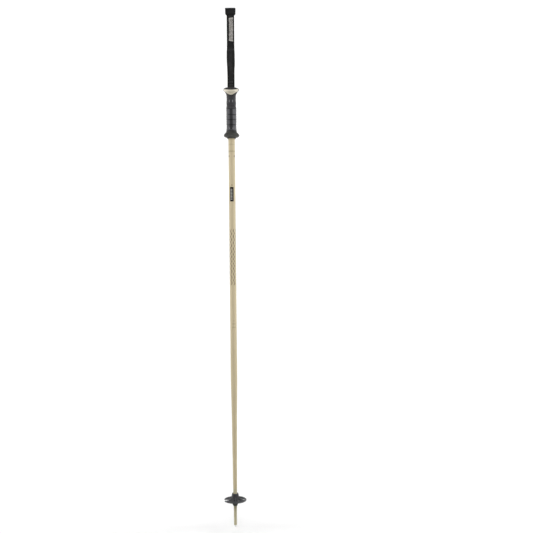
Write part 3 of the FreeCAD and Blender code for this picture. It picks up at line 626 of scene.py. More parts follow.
SLIDER_PLASTIC = plastic("slider_plastic", srgb(12, 12, 13), srgb(36, 36, 37), 0.5, 1500, 0.04, wear=0.4, gloss=0.15)
BADGE = badge_paint()
WEBBING = webbing_paint()
THREAD = thread_paint()
PRINT = print_paint()


# ---------------------------------------------------------------- shaft, ferrule, tip

SHAFT_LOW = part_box("shaft")[0].z
SHAFT_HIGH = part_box("shaft")[1].z
SHAFT_WALL = 1.1 * MM
TAPER = ((5.35 * MM, SHAFT_LOW), (7.15 * MM, 300 * MM), (9.0 * MM, 405 * MM), (9.0 * MM, SHAFT_HIGH))
TAPER_SOFTENING = 14 * MM


def shaft_radius(height):
    """Radius of the tube, its two changes of taper eased into curves."""
    def straight(z):
        z = min(max(z, SHAFT_LOW), SHAFT_HIGH)
        for (r0, z0), (r1, z1) in zip(TAPER, TAPER[1:]):
            if z <= z1:
                return r0 + (r1 - r0) * (z - z0) / (z1 - z0)
        return TAPER[-1][0]
    reach = min(TAPER_SOFTENING, height - SHAFT_LOW)
    samples = [straight(height + d) for d in steps(-reach, reach, 8)]
    return sum(samples) / len(samples)


def make_shaft():
    taper_end = 430 * MM
    heights = steps(SHAFT_LOW, taper_end, 60) + steps(taper_end, SHAFT_HIGH, 8)[1:]
    outer = [(shaft_radius(z), z) for z in heights]
    inner = [(r - SHAFT_WALL, z) for r, z in reversed(outer)]
    piece = smooth(turned("shaft_tube", outer + inner, 96))
    bevel(piece, 0.25)
    settle(piece, "pole", "shaft", SHAFT_PAINT, "shaft")


def make_ferrule():
    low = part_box("ferrule")[0].z
    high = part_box("ferrule")[1].z
    outline = [
        (0, low), (3.2, low), (4.0, low + 0.8 * MM), (4.0, 21 * MM), (4.5, 57.2 * MM), (4.6, 58.2 * MM),
        (4.6, 83 * MM), (5.2, 83 * MM), (5.2, 97.5 * MM), (5.0, 97.9 * MM), (5.0, 98.6 * MM), (5.2, 99 * MM),
        (5.25, SHAFT_LOW - 0.1 * MM), (4.2, SHAFT_LOW - 0.1 * MM), (4.2, high), (0, high),
    ]
    piece = smooth(turned("ferrule_moulding", [(r * MM, z) for r, z in outline], 96))
    bevel(piece, 0.2)
    settle(piece, "pole", "ferrule", FERRULE_PLASTIC, "ferrule")


def make_steel_tip():
    """Cupped steel point, its crown filed into small teeth."""
    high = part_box("steel_tip")[1].z
    outline = [
        (0, 1.4 * MM), (1.75, 0.12 * MM), (1.95, 0), (2.15, 0.1 * MM), (2.75, 3.3 * MM), (2.8, 3.6 * MM),
        (2.8, 4.9 * MM), (2.0, 4.9 * MM), (2.0, high), (0, high),
    ]
    piece = turned("tip_point", [(r * MM, z) for r, z in outline], 96)
    for vertex in piece.data.vertices:
        radius = math.hypot(vertex.co.x, vertex.co.y)
        if vertex.co.z < 0.2 * MM and radius > 1.5 * MM:
            angle = math.atan2(vertex.co.y, vertex.co.x)
            vertex.co.z += 0.35 * MM * (0.5 - 0.5 * math.cos(8 * angle))
    bevel(smooth(piece), 0.12)
    settle(piece, "pole", "steel_tip", STEEL, "steel_tip")


# ---------------------------------------------------------------- basket

NOTCH_ANGLE = 186
NOTCH_HALF_ANGLE = 16
WINDOWS = 6
WINDOW_HALF_ANGLE = 12
BASKET_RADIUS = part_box("basket")[1].x


def window_outline(inner, outer, half_angle):
    """Ring sector with rounded corners, in metres, centred on +X."""
    half = math.radians(half_angle)
    outside = [(outer * math.cos(a), outer * math.sin(a)) for a in steps(-half, half, 12)]
    inside = [(inner * math.cos(a), inner * math.sin(a)) for a in steps(half, -half, 8)]
    return rounded_corners(outside + inside, 2.4 * MM)


def turned_outline(corners, degrees):
    a = math.radians(degrees)
    return [(x * math.cos(a) - y * math.sin(a), x * math.sin(a) + y * math.cos(a)) for x, y in corners]


def make_basket():
    outline = [
        (4.66, 66.0), (8.2, 66.0), (10.4, 69.8), (13.5, 72.4), (20.0, 72.1), (27.6, 71.8), (29.6, 71.7),
        (30.35, 71.95), (30.6, 72.5), (30.6, 73.8), (30.3, 74.6), (29.6, 75.0), (28.6, 74.95), (27.6, 74.4),
        (26.8, 74.0), (20.0, 74.7), (14.4, 75.7), (12.2, 77.0), (11.0, 79.0), (10.2, 81.5), (9.8, 84.0),
        (9.1, 88.8), (8.7, 91.0), (8.4, 91.6), (7.3, 91.6), (6.95, 91.1), (6.9, 82.65), (4.66, 82.65),
    ]
    scale = BASKET_RADIUS / 30.6
    basket = turned("basket_moulding", [(r * scale, z * MM) for r, z in outline], 180)
    pitch = 360 / WINDOWS
    for index in range(WINDOWS):
        corners = window_outline(20.0 * MM, 25.5 * MM, WINDOW_HALF_ANGLE)
        if index == 0:
            corners = window_outline(17.0 * MM, 40 * MM, NOTCH_HALF_ANGLE)
        corners = turned_outline(corners, NOTCH_ANGLE + index * pitch)
        cut_or_join(basket, prism("cutter", corners, 60 * MM, 80 * MM), "DIFFERENCE")
    for index in range(WINDOWS):
        angle = NOTCH_ANGLE + (index + 0.5) * pitch
        cut_or_join(basket, basket_rib(angle), "UNION")
    for index in range(3):
        cut_or_join(basket, hub_slot(NOTCH_ANGLE + 30 + index * 120), "DIFFERENCE")
    bevel(basket, 0.3, 2, 38)
    applied(basket)
    smooth(basket, 28)
    settle(basket, "basket", "basket", BASKET_PLASTIC, "basket")


def basket_rib(angle):
    """Gusset from the hub down a spoke."""
    half = 0.8 * MM
    side = [(8.0, 72.9), (26.6, 72.9), (26.6, 74.9), (14.5, 77.6), (10.2, 82.0), (8.0, 84.0)]
    points = [(x * MM, -half, z * MM) for x, z in side] + [(x * MM, half, z * MM) for x, z in side]
    count = len(side)
    faces = [list(range(count)), list(range(count, 2 * count))[::-1]]
    for i in range(count):
        j = (i + 1) % count
        faces.append([i, j, count + j, count + i])
    rib = link("rib", mesh_from("rib", points, faces))
    rib.data.transform(Matrix.Rotation(math.radians(angle), 4, "Z"))
    return rib


def hub_slot(angle):
    """Relief slot down the hub's cup."""
    corners = turned_outline([(5 * MM, -0.5 * MM), (12 * MM, -0.5 * MM), (12 * MM, 0.5 * MM), (5 * MM, 0.5 * MM)], angle)
    return prism("slot", corners, 87.0 * MM, 93 * MM)


def make_lock_ring():
    outline = [
        (4.66, 58.2), (5.9, 58.2), (6.15, 58.45), (6.5, 60.0), (7.2, 61.9), (7.95, 63.7), (8.15, 64.4),
        (8.2, 65.3), (8.0, 65.6), (4.66, 65.6),
    ]
    piece = turned("lock_ring", [(r * MM, z * MM) for r, z in outline], 96)
    smooth(bevel(piece, 0.15))
    settle(piece, "pole", "basket_lock_ring", RING_PLASTIC, "basket_lock_ring")


# ---------------------------------------------------------------- grip

STOP_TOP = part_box("hand_stop")[1].z
GRIP_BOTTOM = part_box("hand_stop")[0].z
HEAD_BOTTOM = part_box("head_shell")[0].z
CAP_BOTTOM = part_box("head_cap")[0].z

HANDLE_FLANK = curve_through([
    (14.6, -119.5), (13.75, -113.5), (13.3, -107.0), (13.6, -96.0), (13.7, -82.0), (13.6, -66.0),
    (13.5, -54.0), (12.8, -47.5), (13.3, -41.0), (12.8, -34.0), (12.8, -26.0),
])


def handle_half_width(height):
    """Half width of the handle in metres, at a height in metres."""
    return HANDLE_FLANK((height - GRIP_TOP) / MM) * MM


SPINE_HALF = 4.0 * MM
SPINE_TOP = down(60.0)
SPINE_LOW = down(116.5)


def sleeve_relief(angle, height):
    """How far the sleeve's skin stands in or out of its plain flank, in metres."""
    depth = 0.0
    turn = math.atan2(math.sin(angle), math.cos(angle))
    for distance in GROOVE_DISTANCES:
        gap = (height - down(distance)) / MM
        depth -= 0.95 * math.exp(-(gap / 1.05) ** 4)
        depth += 0.22 * math.exp(-((abs(gap) - 2.6) / 1.2) ** 2)
    over = down(48.5) - 5.0 * MM * math.exp(-(turn / math.radians(17)) ** 2)
    gap = (height - over) / MM
    depth -= 0.75 * math.exp(-(gap / 1.4) ** 2) * math.exp(-(turn / math.radians(75)) ** 6)
    pad = math.exp(-((abs(turn) - math.radians(24)) / math.radians(13)) ** 2)
    depth += 0.95 * pad * math.exp(-((height - down(40.0)) / (3.6 * MM)) ** 2)
    depth += 0.95 * pad * math.exp(-((height - down(112.0)) / (2.8 * MM)) ** 2)
    depth -= 0.7 * math.exp(-((height - STOP_TOP) / (0.8 * MM)) ** 2)
    return depth * MM


def on_spine(angle, height, half_width):
    """0 outside the spine's channel and 1 inside it."""
    turn = math.atan2(math.sin(angle), math.cos(angle))
    if abs(turn) > math.radians(60):
        return 0.0
    x, y = oval_point(angle, half_width)
    side = soft_step(SPINE_HALF + 0.25 * MM - abs(x), 0, 0.25 * MM)
    low = soft_step(height, SPINE_LOW - 0.35 * MM, SPINE_LOW)
    high = soft_step(-height, -(SPINE_TOP + 0.35 * MM), -SPINE_TOP)
    return side * low * high


def make_grip_sleeve():
    heights = steps(STOP_TOP + 0.05 * MM, HEAD_BOTTOM - 0.05 * MM, 420)
    segments = 256
    bore = 10.76 * MM
    points = []
    rings = []
    for height in heights:
        width = handle_half_width(height)
        ring = []
        for i in range(segments):
            angle = 2 * math.pi * i / segments
            relief = sleeve_relief(angle, height) - 1.4 * MM * on_spine(angle, height, width)
            ring.append(len(points))
            x, y = oval_point(angle, width + relief)
            points.append((x, y, height))
        rings.append(ring)
    for height in (heights[-1], heights[0]):
        ring = []
        for i in range(segments):
            x, y = oval_point(2 * math.pi * i / segments, bore)
            ring.append(len(points))
            points.append((x, y, height))
        rings.append(ring)
    piece = link("grip_sleeve_skin", mesh_from("sleeve", points, ring_faces(rings, segments)))
    smooth(piece, 50)
    settle(piece, "pole", "grip_sleeve", GRIP_RUBBER, "grip_sleeve")


def ring_faces(rings, segments, closed=True):
    faces = []
    pairs = list(zip(rings, rings[1:]))
    if closed:
        pairs.append((rings[-1], rings[0]))
    for low, high in pairs:
        for i in range(segments):
            j = (i + 1) % segments
            faces.append([low[i], low[j], high[j], high[i]])
    return faces


def make_grip_spine():
    """Insert down the front of the handle, crossed by the grooves and lightly ribbed between them."""
    rows = steps(SPINE_LOW, SPINE_TOP, 300)
    columns = 28
    outer = []
    inner = []
    for height in rows:
        width = handle_half_width(height)
        line_out = []
        line_in = []
        for i in range(columns + 1):
            x = SPINE_HALF * (2 * i / columns - 1)
            angle = front_angle(x, width)
            relief = sleeve_relief(angle, height) - 0.12 * MM
            crown = 0.5 + 0.5 * math.cos(2 * math.pi * (height - SPINE_LOW) / (2.75 * MM))
            middle = 1 - (x / SPINE_HALF) ** 6
            relief -= 0.16 * MM * crown * middle
            shoulder = 1 - soft_step(SPINE_HALF - abs(x), 0, 0.4 * MM)
            relief -= 0.3 * MM * shoulder
            line_out.append((x, oval_point(angle, width + relief)[1], height))
            line_in.append((x, oval_point(angle, width - 1.4 * MM)[1], height))
        outer.append(line_out)
        inner.append(line_in)
    piece = link("grip_spine_insert", slab("spine", outer, inner))
    smooth(piece, 50)
    settle(piece, "pole", "grip_spine", SPINE_RUBBER, "grip_spine")


def front_angle(x, half_width):
    """Angle at which the front of the oval reaches this x."""
    across = min(abs(x) / half_width, 0.999)
    return math.copysign(math.asin(across ** (OVAL_POWER / 2)), x)


def slab(name, outer, inner):
    """Closed mesh between two matching grids of points."""
    rows, columns = len(outer), len(outer[0])
    points = [p for line in outer for p in line] + [p for line in inner for p in line]
    back = rows * columns
    faces = []
    for r in range(rows - 1):
        for c in range(columns - 1):
            a = r * columns + c
            faces.append([a, a + 1, a + columns + 1, a + columns])
            faces.append([back + a, back + a + columns, back + a + columns + 1, back + a + 1])
    for r in range(rows - 1):
        for c in (0, columns - 1):
            a = r * columns + c
            faces.append([a, a + columns, back + a + columns, back + a])
    for c in range(columns - 1):
        for r in (0, rows - 1):
            a = r * columns + c
            faces.append([a, a + 1, back + a + 1, back + a])
    return mesh_from(name, points, faces)


def make_hand_stop():
    flank = curve_through([
        (11.5, 0.0), (13.5, 3.8), (19.4, 6.6), (21.0, 9.4), (19.9, 12.2), (17.3, 15.0), (15.3, 17.4), (14.3, 19.5),
    ])
    heights = [0.0, 0.25] + steps(0.5, 19.5, 64)
    outline = []
    for h in heights:
        lip = 0.5 * math.exp(-(h / 0.35) ** 2) + 0.7 * math.exp(-((19.5 - h) / 0.7) ** 2)
        outline.append(((flank(h) - lip) * MM, GRIP_BOTTOM + h * MM))
    bore = 10.76 * MM
    outline += [(bore, STOP_TOP), (bore, GRIP_BOTTOM)]
    piece = turned("hand_stop_moulding", outline, 192, OVAL_POWER, GRIP_DEPTH_RATIO)
    smooth(piece, 40)
    settle(piece, "pole", "hand_stop", STOP_RUBBER, "hand_stop")


HEAD_FLANK = curve_through([
    (12.8, -26.0), (13.1, -20.0), (14.6, -15.0), (18.45, -9.0), (20.8, -6.4), (21.45, -4.6),
])


def head_half_width(height):
    return HEAD_FLANK((height - GRIP_TOP) / MM) * MM


def make_head_shell():
    heights = steps(HEAD_BOTTOM, CAP_BOTTOM - 0.25 * MM, 60)
    outline = [(head_half_width(z), z) for z in heights]
    outline[0] = (outline[0][0] - 0.25 * MM, outline[0][1])
    rim = head_half_width(CAP_BOTTOM)
    outline += [(rim - 0.25 * MM, CAP_BOTTOM), (0, CAP_BOTTOM)]
    outline = [(0, HEAD_BOTTOM)] + outline
    piece = turned("head_moulding", outline, 192, OVAL_POWER, GRIP_DEPTH_RATIO)
    floor = down(22.0)
    cavity = prism("cavity", [(-9.6 * MM, -4.8 * MM), (9.6 * MM, -4.8 * MM), (9.6 * MM, 4.8 * MM),
                              (-9.6 * MM, 4.8 * MM)], floor, GRIP_TOP)
    cut_or_join(piece, cavity, "DIFFERENCE")
    cut_or_join(piece, badge_body("badge_pocket", 0.16 * MM, -1.5 * MM, 1.6 * MM, 0), "DIFFERENCE")
    smooth(piece, 32)
    settle(piece, "pole", "head_shell", HEAD_PLASTIC, "head_shell")


BADGE_TOP_EDGE = curve_through([(-9.3, 0.0), (-8.1, 11.0), (-6.4, 17.0), (-5.4, 19.6), (-4.9, 21.0)])
BADGE_LOW_EDGE = curve_through([(-21.3, 0.0), (-20.4, 4.5), (-17.8, 8.6), (-14.6, 12.2), (-10.5, 17.0), (-7.8, 19.4),
                                (-5.8, 21.0)])


def badge_body(name, gap, sunk, depth, round_mm):
    """Patch that lies on the front of the head; its face stands sunk below the head's own skin."""
    rows, columns = 40, 84
    reach = 20.4 * MM + gap
    outer = []
    inner = []
    for r in range(rows + 1):
        line_out = []
        line_in = []
        for c in range(columns + 1):
            x = reach * math.sin(math.pi / 2 * (2 * c / columns - 1))
            across = min(abs(x) / MM, 20.4)
            top = GRIP_TOP + BADGE_TOP_EDGE(across) * MM + gap
            low = GRIP_TOP + BADGE_LOW_EDGE(across) * MM - gap
            height = low + (top - low) * soft_step(r / rows, -0.15, 1.15)
            first = soft_step(0, -0.15, 1.15)
            share = (soft_step(r / rows, -0.15, 1.15) - first) / (1 - 2 * first)
            height = low + (top - low) * share
            width = max(head_half_width(height), abs(x) + 0.1 * MM)
            edge = min(reach - abs(x), height - low, top - height)
            fall = round_mm * MM * (1 - min(max(edge, 0) / (0.9 * MM), 1.0)) ** 2
            dimple = crease(x, height) if round_mm else 0
            angle = front_angle(x, width)
            line_out.append((x, min(oval_point(angle, width)[1] + sunk + fall + dimple, -2.0 * MM), height))
            line_in.append((x, min(oval_point(angle, width)[1] + depth, -1.0 * MM), height))
        outer.append(line_out)
        inner.append(line_in)
    return link(name, slab(name, outer, inner))


def crease(x, height):
    """Shallow curved hollow across the badge."""
    middle = down(15.4) + 1.6 * MM * (x / (9 * MM)) ** 2
    across = math.exp(-((height - middle) / (1.5 * MM)) ** 2)
    return 0.5 * MM * across * math.exp(-(x / (9 * MM)) ** 4)


def make_front_badge():
    piece = badge_body("badge_patch", 0, 0.05 * MM, 1.4 * MM, 0.35)
    smooth(piece, 40)
    settle(piece, "pole", "front_badge", BADGE, "front_badge")


def make_head_cap():
    low = CAP_BOTTOM + 0.05 * MM
    flank = [(21.2, 0.0), (21.25, 0.5), (20.9, 1.0), (20.2, 1.45), (18.8, 1.95), (16.6, 2.6), (14.2, 3.4), (12.6, 4.1)]
    outline = [(0, low)] + [(r * MM, low + h * MM) for r, h in flank]
    top = GRIP_TOP
    outline += [(12.0 * MM, top - 0.12 * MM), (11.5 * MM, top), (0, top)]
    piece = turned("head_cap_moulding", outline, 192, OVAL_POWER, GRIP_DEPTH_RATIO)
    mouth = prism("mouth", rounded_corners([(-9.6 * MM, -2.85 * MM), (9.6 * MM, -2.85 * MM), (9.6 * MM, 2.85 * MM),
                                            (-9.6 * MM, 2.85 * MM)], 1.2 * MM), low - MM, top + MM)
    cut_or_join(piece, mouth, "DIFFERENCE")
    bevel(piece, 0.35, 3, 40)
    applied(piece)
    smooth(piece, 32)
    settle(piece, "pole", "head_cap", CAP_PLASTIC, "head_cap")


# ---------------------------------------------------------------- strap

WEB_HALF = 1.0 * MM
NECK_LOW = down(-4.0)
DRAPE = down(-34.0)
HINGE_GAP = 2.4 * MM
SEAM = down(-19.0)
NECK_Y = 1.15 * MM
LOOP_Y = 1.6 * MM
LOOP_LOW = down(-40.0)
LOOP_HIGH = down(-122.0)
LOOP_BOW = 20.0 * MM
CROWN = down(-216.4)
EYE_HEIGHT = down(11.5)
EYE_RADIUS = 3.05 * MM


def bowed(height):
    """Distance of the rear ply's middle from the strap's own middle plane."""
    span = LOOP_HIGH - LOOP_LOW
    if height <= LOOP_LOW or height >= LOOP_HIGH:
        return LOOP_Y
    middle = (LOOP_LOW + LOOP_HIGH) / 2
    half = span / 2
    turn = 2 * math.atan(LOOP_BOW / half)
    radius = half / (2 * math.sin(turn))
    away = abs(height - middle)
    inner_reach = radius * math.sin(turn)
    if away <= inner_reach:
        return LOOP_Y + LOOP_BOW - radius + math.sqrt(radius ** 2 - away ** 2)
    return LOOP_Y + radius - math.sqrt(max(radius ** 2 - (half - away) ** 2, 0))


def ribbon(name, path, width_at, half_thickness, caps=True):
    """Webbing along a (y, z) path: rounded selvedges, a raised middle band, and a lengthwise map."""
    profile = []
    edge = 6
    across = [math.sin(math.pi / 2 * t) for t in steps(-1, 1, 24)]
    for share in across:
        profile.append((share, 1.0))
    bottom = [(share, -1.0) for share in reversed(across)]
    loop = profile + bottom
    rows = []
    maps = []
    travelled = 0.0
    for index, (y, z) in enumerate(path):
        before = Vector(path[max(index - 1, 0)])
        after = Vector(path[min(index + 1, len(path) - 1)])
        along = (after - before).normalized()
        normal = Vector((-along.y, along.x))
        if index:
            travelled += (Vector((y, z)) - Vector(path[index - 1])).length
        half = width_at(z) / 2
        row = []
        row_map = []
        for share, face in loop:
            x = share * half
            from_edge = half - abs(x)
            round_off = 1 - (1 - min(from_edge / (0.8 * MM), 1.0)) ** 2
            thick = half_thickness * (0.35 + 0.65 * math.sqrt(max(round_off, 0)))
            selvedge = 0.10 * MM * math.exp(-((abs(x) - 5.1 * MM) / (0.45 * MM)) ** 2)
            offset = face * (thick - selvedge)
            row.append((x, y + normal.x * offset, z + normal.y * offset))
            row_map.append((x, travelled))
        rows.append(row)
        maps.append(row_map)
    count = len(loop)
    points = [p for row in rows for p in row]
    flat = [m for row in maps for m in row]
    faces = []
    for r in range(len(rows) - 1):
        for c in range(count):
            d = (c + 1) % count
            faces.append([r * count + c, r * count + d, (r + 1) * count + d, (r + 1) * count + c])
    faces.append(list(range(count)))
    faces.append([(len(rows) - 1) * count + c for c in range(count)][::-1])
    mesh = bpy.data.meshes.new(name)
    mesh.from_pydata(points, [], faces)
    mesh.validate()
    layer = mesh.uv_layers.new(name="weave")
    for corner in mesh.loops:
        layer.data[corner.index].uv = flat[corner.vertex_index]
    work = bmesh.new()
    work.from_mesh(mesh)
    bmesh.ops.recalc_face_normals(work, faces=work.faces)
    work.to_mesh(mesh)
    work.free()
    return link(name, mesh)


def strap_width(height):
    """The webbing is pulled in a little where it is sewn."""
    return (19.4 + 0.9 * soft_step(height, down(-27), down(-70))) * MM


def make_strap_neck():
    """Webbing from its eye round the anchor pin up to the middle of the sewn neck."""
    piece = ribbon("strap_neck_webbing", eye_path(), strap_width, WEB_HALF)
    smooth(piece, 45)
    blended(piece, "strap_webbing", WEBBING, "pole", "strap_neck",
            (0, 0, NECK_LOW - HINGE_GAP), (0, 0, NECK_LOW + HINGE_GAP), "strap_root", "strap_neck")


def eye_path():
    """Front ply down to the pin, round below it and up the rear."""
    turn = math.radians(180) - math.asin(NECK_Y / EYE_RADIUS)
    front = [(-NECK_Y, z) for z in steps(SEAM, EYE_HEIGHT + 4.4 * MM, 60)]
    round_pin = []
    for a in steps(-turn + math.radians(8), turn - math.radians(8), 44):
        round_pin.append((EYE_RADIUS * math.sin(a), EYE_HEIGHT - EYE_RADIUS * math.cos(a)))
    rear = [(-y, z) for y, z in reversed(front)]
    return front + round_pin + rear


def blended(piece, slot_name, paint, first, second, start, end, *nodes):
    piece.data.materials.clear()
    piece.data.materials.append(paint)
    if nodes:
        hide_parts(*nodes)
    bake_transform(piece)
    return piece


def make_strap_loop():
    """Webbing from the middle of the neck up one side of the loop, over the crown and back."""
    rise = [(z, ply_distance(z)) for z in steps(SEAM, CROWN - LOOP_Y - WEB_HALF, 230)]
    rear = [(y, z) for z, y in rise]
    top = CROWN - LOOP_Y - WEB_HALF
    fold = [(LOOP_Y * math.cos(a), top + LOOP_Y * math.sin(a)) for a in steps(0, math.pi, 14)][1:-1]
    front = [(-y, z) for y, z in reversed(rear)]
    piece = ribbon("strap_loop_webbing", rear + fold + front, strap_width, WEB_HALF)
    smooth(piece, 45)
    blended(piece, "strap_webbing", WEBBING, "strap_neck", "strap_loop",
            (0, 0, DRAPE - HINGE_GAP), (0, 0, DRAPE + HINGE_GAP), "strap_front_run", "strap_rear_run")


def ply_distance(height):
    """The plies lie together in the neck and part above the upper bend."""
    part = soft_step(height, DRAPE - 6 * MM, LOOP_LOW)
    return NECK_Y + (bowed(height) - NECK_Y) * part


def make_bartacks():
    """Two zigzag bars of thread through the neck, one on each face."""
    threads = []
    for above in (8.5, 16.5):
        for face in (-1, 1):
            threads += zigzag(down(-above), face)
    piece = tubes("bartack_thread", threads, 0.27 * MM)
    smooth(piece, 60)
    settle(piece, "strap_neck", "stitching", THREAD, "neck_bartacks")


def zigzag(height, face):
    half, rise, count = 5.8 * MM, 0.75 * MM, 26
    depth = NECK_Y + WEB_HALF
    line = []
    for i in range(count + 1):
        x = -half + 2 * half * i / count
        z = height + (rise if i % 2 else -rise)
        line.append((x, face * (depth - 0.12 * MM), z))
        if i < count:
            line.append((x + half / count, face * (depth + 0.14 * MM), height))
    return [line]


def tubes(name, lines, radius, sides=8):
    points = []
    faces = []
    for line in lines:
        rings = []
        for index, spot_at in enumerate(line):
            here = Vector(spot_at)
            before = Vector(line[max(index - 1, 0)])
            after = Vector(line[min(index + 1, len(line) - 1)])
            along = (after - before).normalized()
            side = along.cross(Vector((0, 1, 0))).normalized()
            other = along.cross(side).normalized()
            ring = []
            for i in range(sides):
                a = 2 * math.pi * i / sides
                ring.append(len(points))
                points.append(here + radius * (math.cos(a) * side + math.sin(a) * other))
            rings.append(ring)
        faces += ring_faces(rings, sides, closed=False)
        faces += [rings[0][::-1], rings[-1]]
    return link(name, mesh_from(name, points, faces))


# ---------------------------------------------------------------- print and slider

PRINT_HALF = 5.7 * MM
PRINT_OFFSET = 1.4 * MM
PRINT_LOW = down(-127.0)
PRINT_HIGH = down(-193.0)
PRINT_SLANT = 2.2 * MM
STRAP_FACE = -(LOOP_Y + WEB_HALF)


def make_strap_print():
    """Plain ladder of slanted dashes in a thin printed film, with a block at each end."""
    face = STRAP_FACE - 0.02 * MM
    thickness = 0.16 * MM
    chance = random.Random(11)
    block = 4.6 * MM
    gap = 0.9 * MM
    dashes = [(-1.0, 1.0, PRINT_LOW, PRINT_LOW + block), (-1.0, 1.0, PRINT_HIGH - block, PRINT_HIGH)]
    first = PRINT_LOW + block + gap
    last = PRINT_HIGH - block - gap
    count = 15
    pitch = (last - first + gap) / count
    for i in range(count):
        low = first + i * pitch
        split = chance.uniform(-0.5, 0.5)
        left = -1.0 + chance.uniform(0.0, 0.18)
        right = 1.0 - chance.uniform(0.0, 0.18)
        dashes.append((left, split - 0.07, low, low + pitch - gap))
        dashes.append((split + 0.07, right, low, low + pitch - gap))
    points = []
    faces = []
    for left, right, low, high in dashes:
        outline = [(x * PRINT_HALF, z + slant(x, z)) for x, z in ((left, low), (right, low), (right, high), (left, high))]
        corners = rounded_corners(outline, 0.5 * MM, 4)
        start = len(points)
        total = len(corners)
        points += [(PRINT_OFFSET + x, face, z) for x, z in corners]
        points += [(PRINT_OFFSET + x, face - thickness, z) for x, z in corners]
        faces.append([start + i for i in range(total)])
        faces.append([start + total + i for i in range(total)][::-1])
        for i in range(total):
            j = (i + 1) % total
            faces.append([start + i, start + j, start + total + j, start + total + i])
    piece = link("strap_print_film", mesh_from("print", points, faces))
    smooth(piece, 30)
    settle(piece, "strap_loop", "strap_print", PRINT, "strap_print")


def slant(share_across, height):
    """Slope of the dashes: down to the right at the foot, up to the right at the head."""
    share = (height - PRINT_LOW) / (PRINT_HIGH - PRINT_LOW)
    return PRINT_SLANT * (1 - 2 * share) * (1 - share_across) / 2


SLIDER_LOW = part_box("slider_front")[0].z
SLIDER_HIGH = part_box("slider_front")[1].z
SLIDER_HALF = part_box("slider_front")[1].x
SLIDER_DEEP = -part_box("slider_front")[0].y


def make_slider_half(front):
    name = "slider_front" if front else "slider_rear"
    taper = 0.35 * MM
    outline = [(-SLIDER_HALF + taper, SLIDER_LOW), (SLIDER_HALF - taper, SLIDER_LOW), (SLIDER_HALF, SLIDER_HIGH),
               (-SLIDER_HALF, SLIDER_HIGH)]
    corners = uneven_corners(outline, (4.0 * MM, 4.0 * MM, 1.6 * MM, 1.6 * MM))
    y_face = -SLIDER_DEEP if front else SLIDER_DEEP
    y_seam = -0.05 * MM if front else 0.05 * MM
    block = across_prism(name + "_shell", corners, y_face, y_seam)
    bevel(block, 0.9, 5, 50)
    applied(block)
    slot_side = 10.45 * MM
    gap = 3.2 * MM
    hollow = across_prism("slot", [(-slot_side, SLIDER_LOW - MM), (slot_side, SLIDER_LOW - MM),
                                   (slot_side, SLIDER_HIGH + MM), (-slot_side, SLIDER_HIGH + MM)], -gap, gap)
    cut_or_join(block, hollow, "DIFFERENCE")
    margin = 3.4 * MM
    inner = rounded_corners([(-SLIDER_HALF + margin, SLIDER_LOW + margin), (SLIDER_HALF - margin, SLIDER_LOW + margin),
                             (SLIDER_HALF - margin, SLIDER_HIGH - margin), (-SLIDER_HALF + margin, SLIDER_HIGH - margin)],
                            1.0 * MM, 5)
    if front:
        cut_or_join(block, across_prism("recess", inner, y_face - MM, y_face + 0.5 * MM), "DIFFERENCE")
    else:
        for z in steps(SLIDER_LOW + 5 * MM, SLIDER_HIGH - 5 * MM, 4):
            groove = across_prism("groove", rounded_corners([(-8 * MM, z - 0.4 * MM), (8 * MM, z - 0.4 * MM),
                                                             (8 * MM, z + 0.4 * MM), (-8 * MM, z + 0.4 * MM)],
                                                            0.35 * MM, 3), y_face - 0.4 * MM, y_face + MM)
            cut_or_join(block, groove, "DIFFERENCE")
    for side in (-1, 1):
        x = side * (slot_side + SLIDER_HALF) / 2
        z = (SLIDER_LOW + SLIDER_HIGH) / 2
        hole = across_prism("rivet_hole", [(x + 1.06 * MM * math.cos(a), z + 1.06 * MM * math.sin(a))
                                           for a in steps(0, 2 * math.pi, 20)[:-1]], -4.9 * MM, 4.9 * MM)
        cut_or_join(block, hole, "DIFFERENCE")
    bevel(block, 0.12, 2, 50)
    applied(block)
    smooth(block, 32)
    settle(block, "slider", "slider", SLIDER_PLASTIC, name)


def uneven_corners(corners, radii):
    result = []
    total = len(corners)
    for i in range(total):
        here = Vector(corners[i])
        before = (Vector(corners[i - 1]) - here).normalized() * radii[i]
        after = (Vector(corners[(i + 1) % total]) - here).normalized() * radii[i]
        centre = here + before + after
        for t in steps(0, math.pi / 2, 8):
            result.append(tuple(centre - before * math.sin(t) - after * math.cos(t)))
    return result


def across_prism(name, corners, y0, y1):
    """Solid over an (x, z) outline, from one y to another."""
    count = len(corners)
    points = [(x, y0, z) for x, z in corners] + [(x, y1, z) for x, z in corners]
    faces = [list(range(count)), list(range(count, 2 * count))[::-1]]
    for i in range(count):
        j = (i + 1) % count
        faces.append([i, j, count + j, count + i])
    return link(name, mesh_from(name, points, faces))


# ---------------------------------------------------------------- build

make_shaft()
make_ferrule()
make_steel_tip()
make_lock_ring()
make_basket()
make_grip_sleeve()
make_grip_spine()
make_hand_stop()
make_head_shell()
make_front_badge()
make_head_cap()
make_strap_neck()
make_strap_loop()
make_bartacks()
make_strap_print()
make_slider_half(True)
make_slider_half(False)

for node, paint in (("grip_core", CORE_PLASTIC), ("strap_anchor_pin", STEEL), ("head_screw", STEEL),
                    ("slider_rivets", DARK_STEEL)):
    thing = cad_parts[node]
    thing.data.materials.clear()
    thing.data.materials.append(paint)
    smooth(thing, 30)


# ---------------------------------------------------------------- floor, lights, camera

LEAN = math.radians(0.58)
CAMERA_DISTANCE = 2.05
CAMERA_X = 0.0920
CAMERA_Z = 0.711
FOCAL_SHARE = 749 / 533         # focal length over the width of the picture


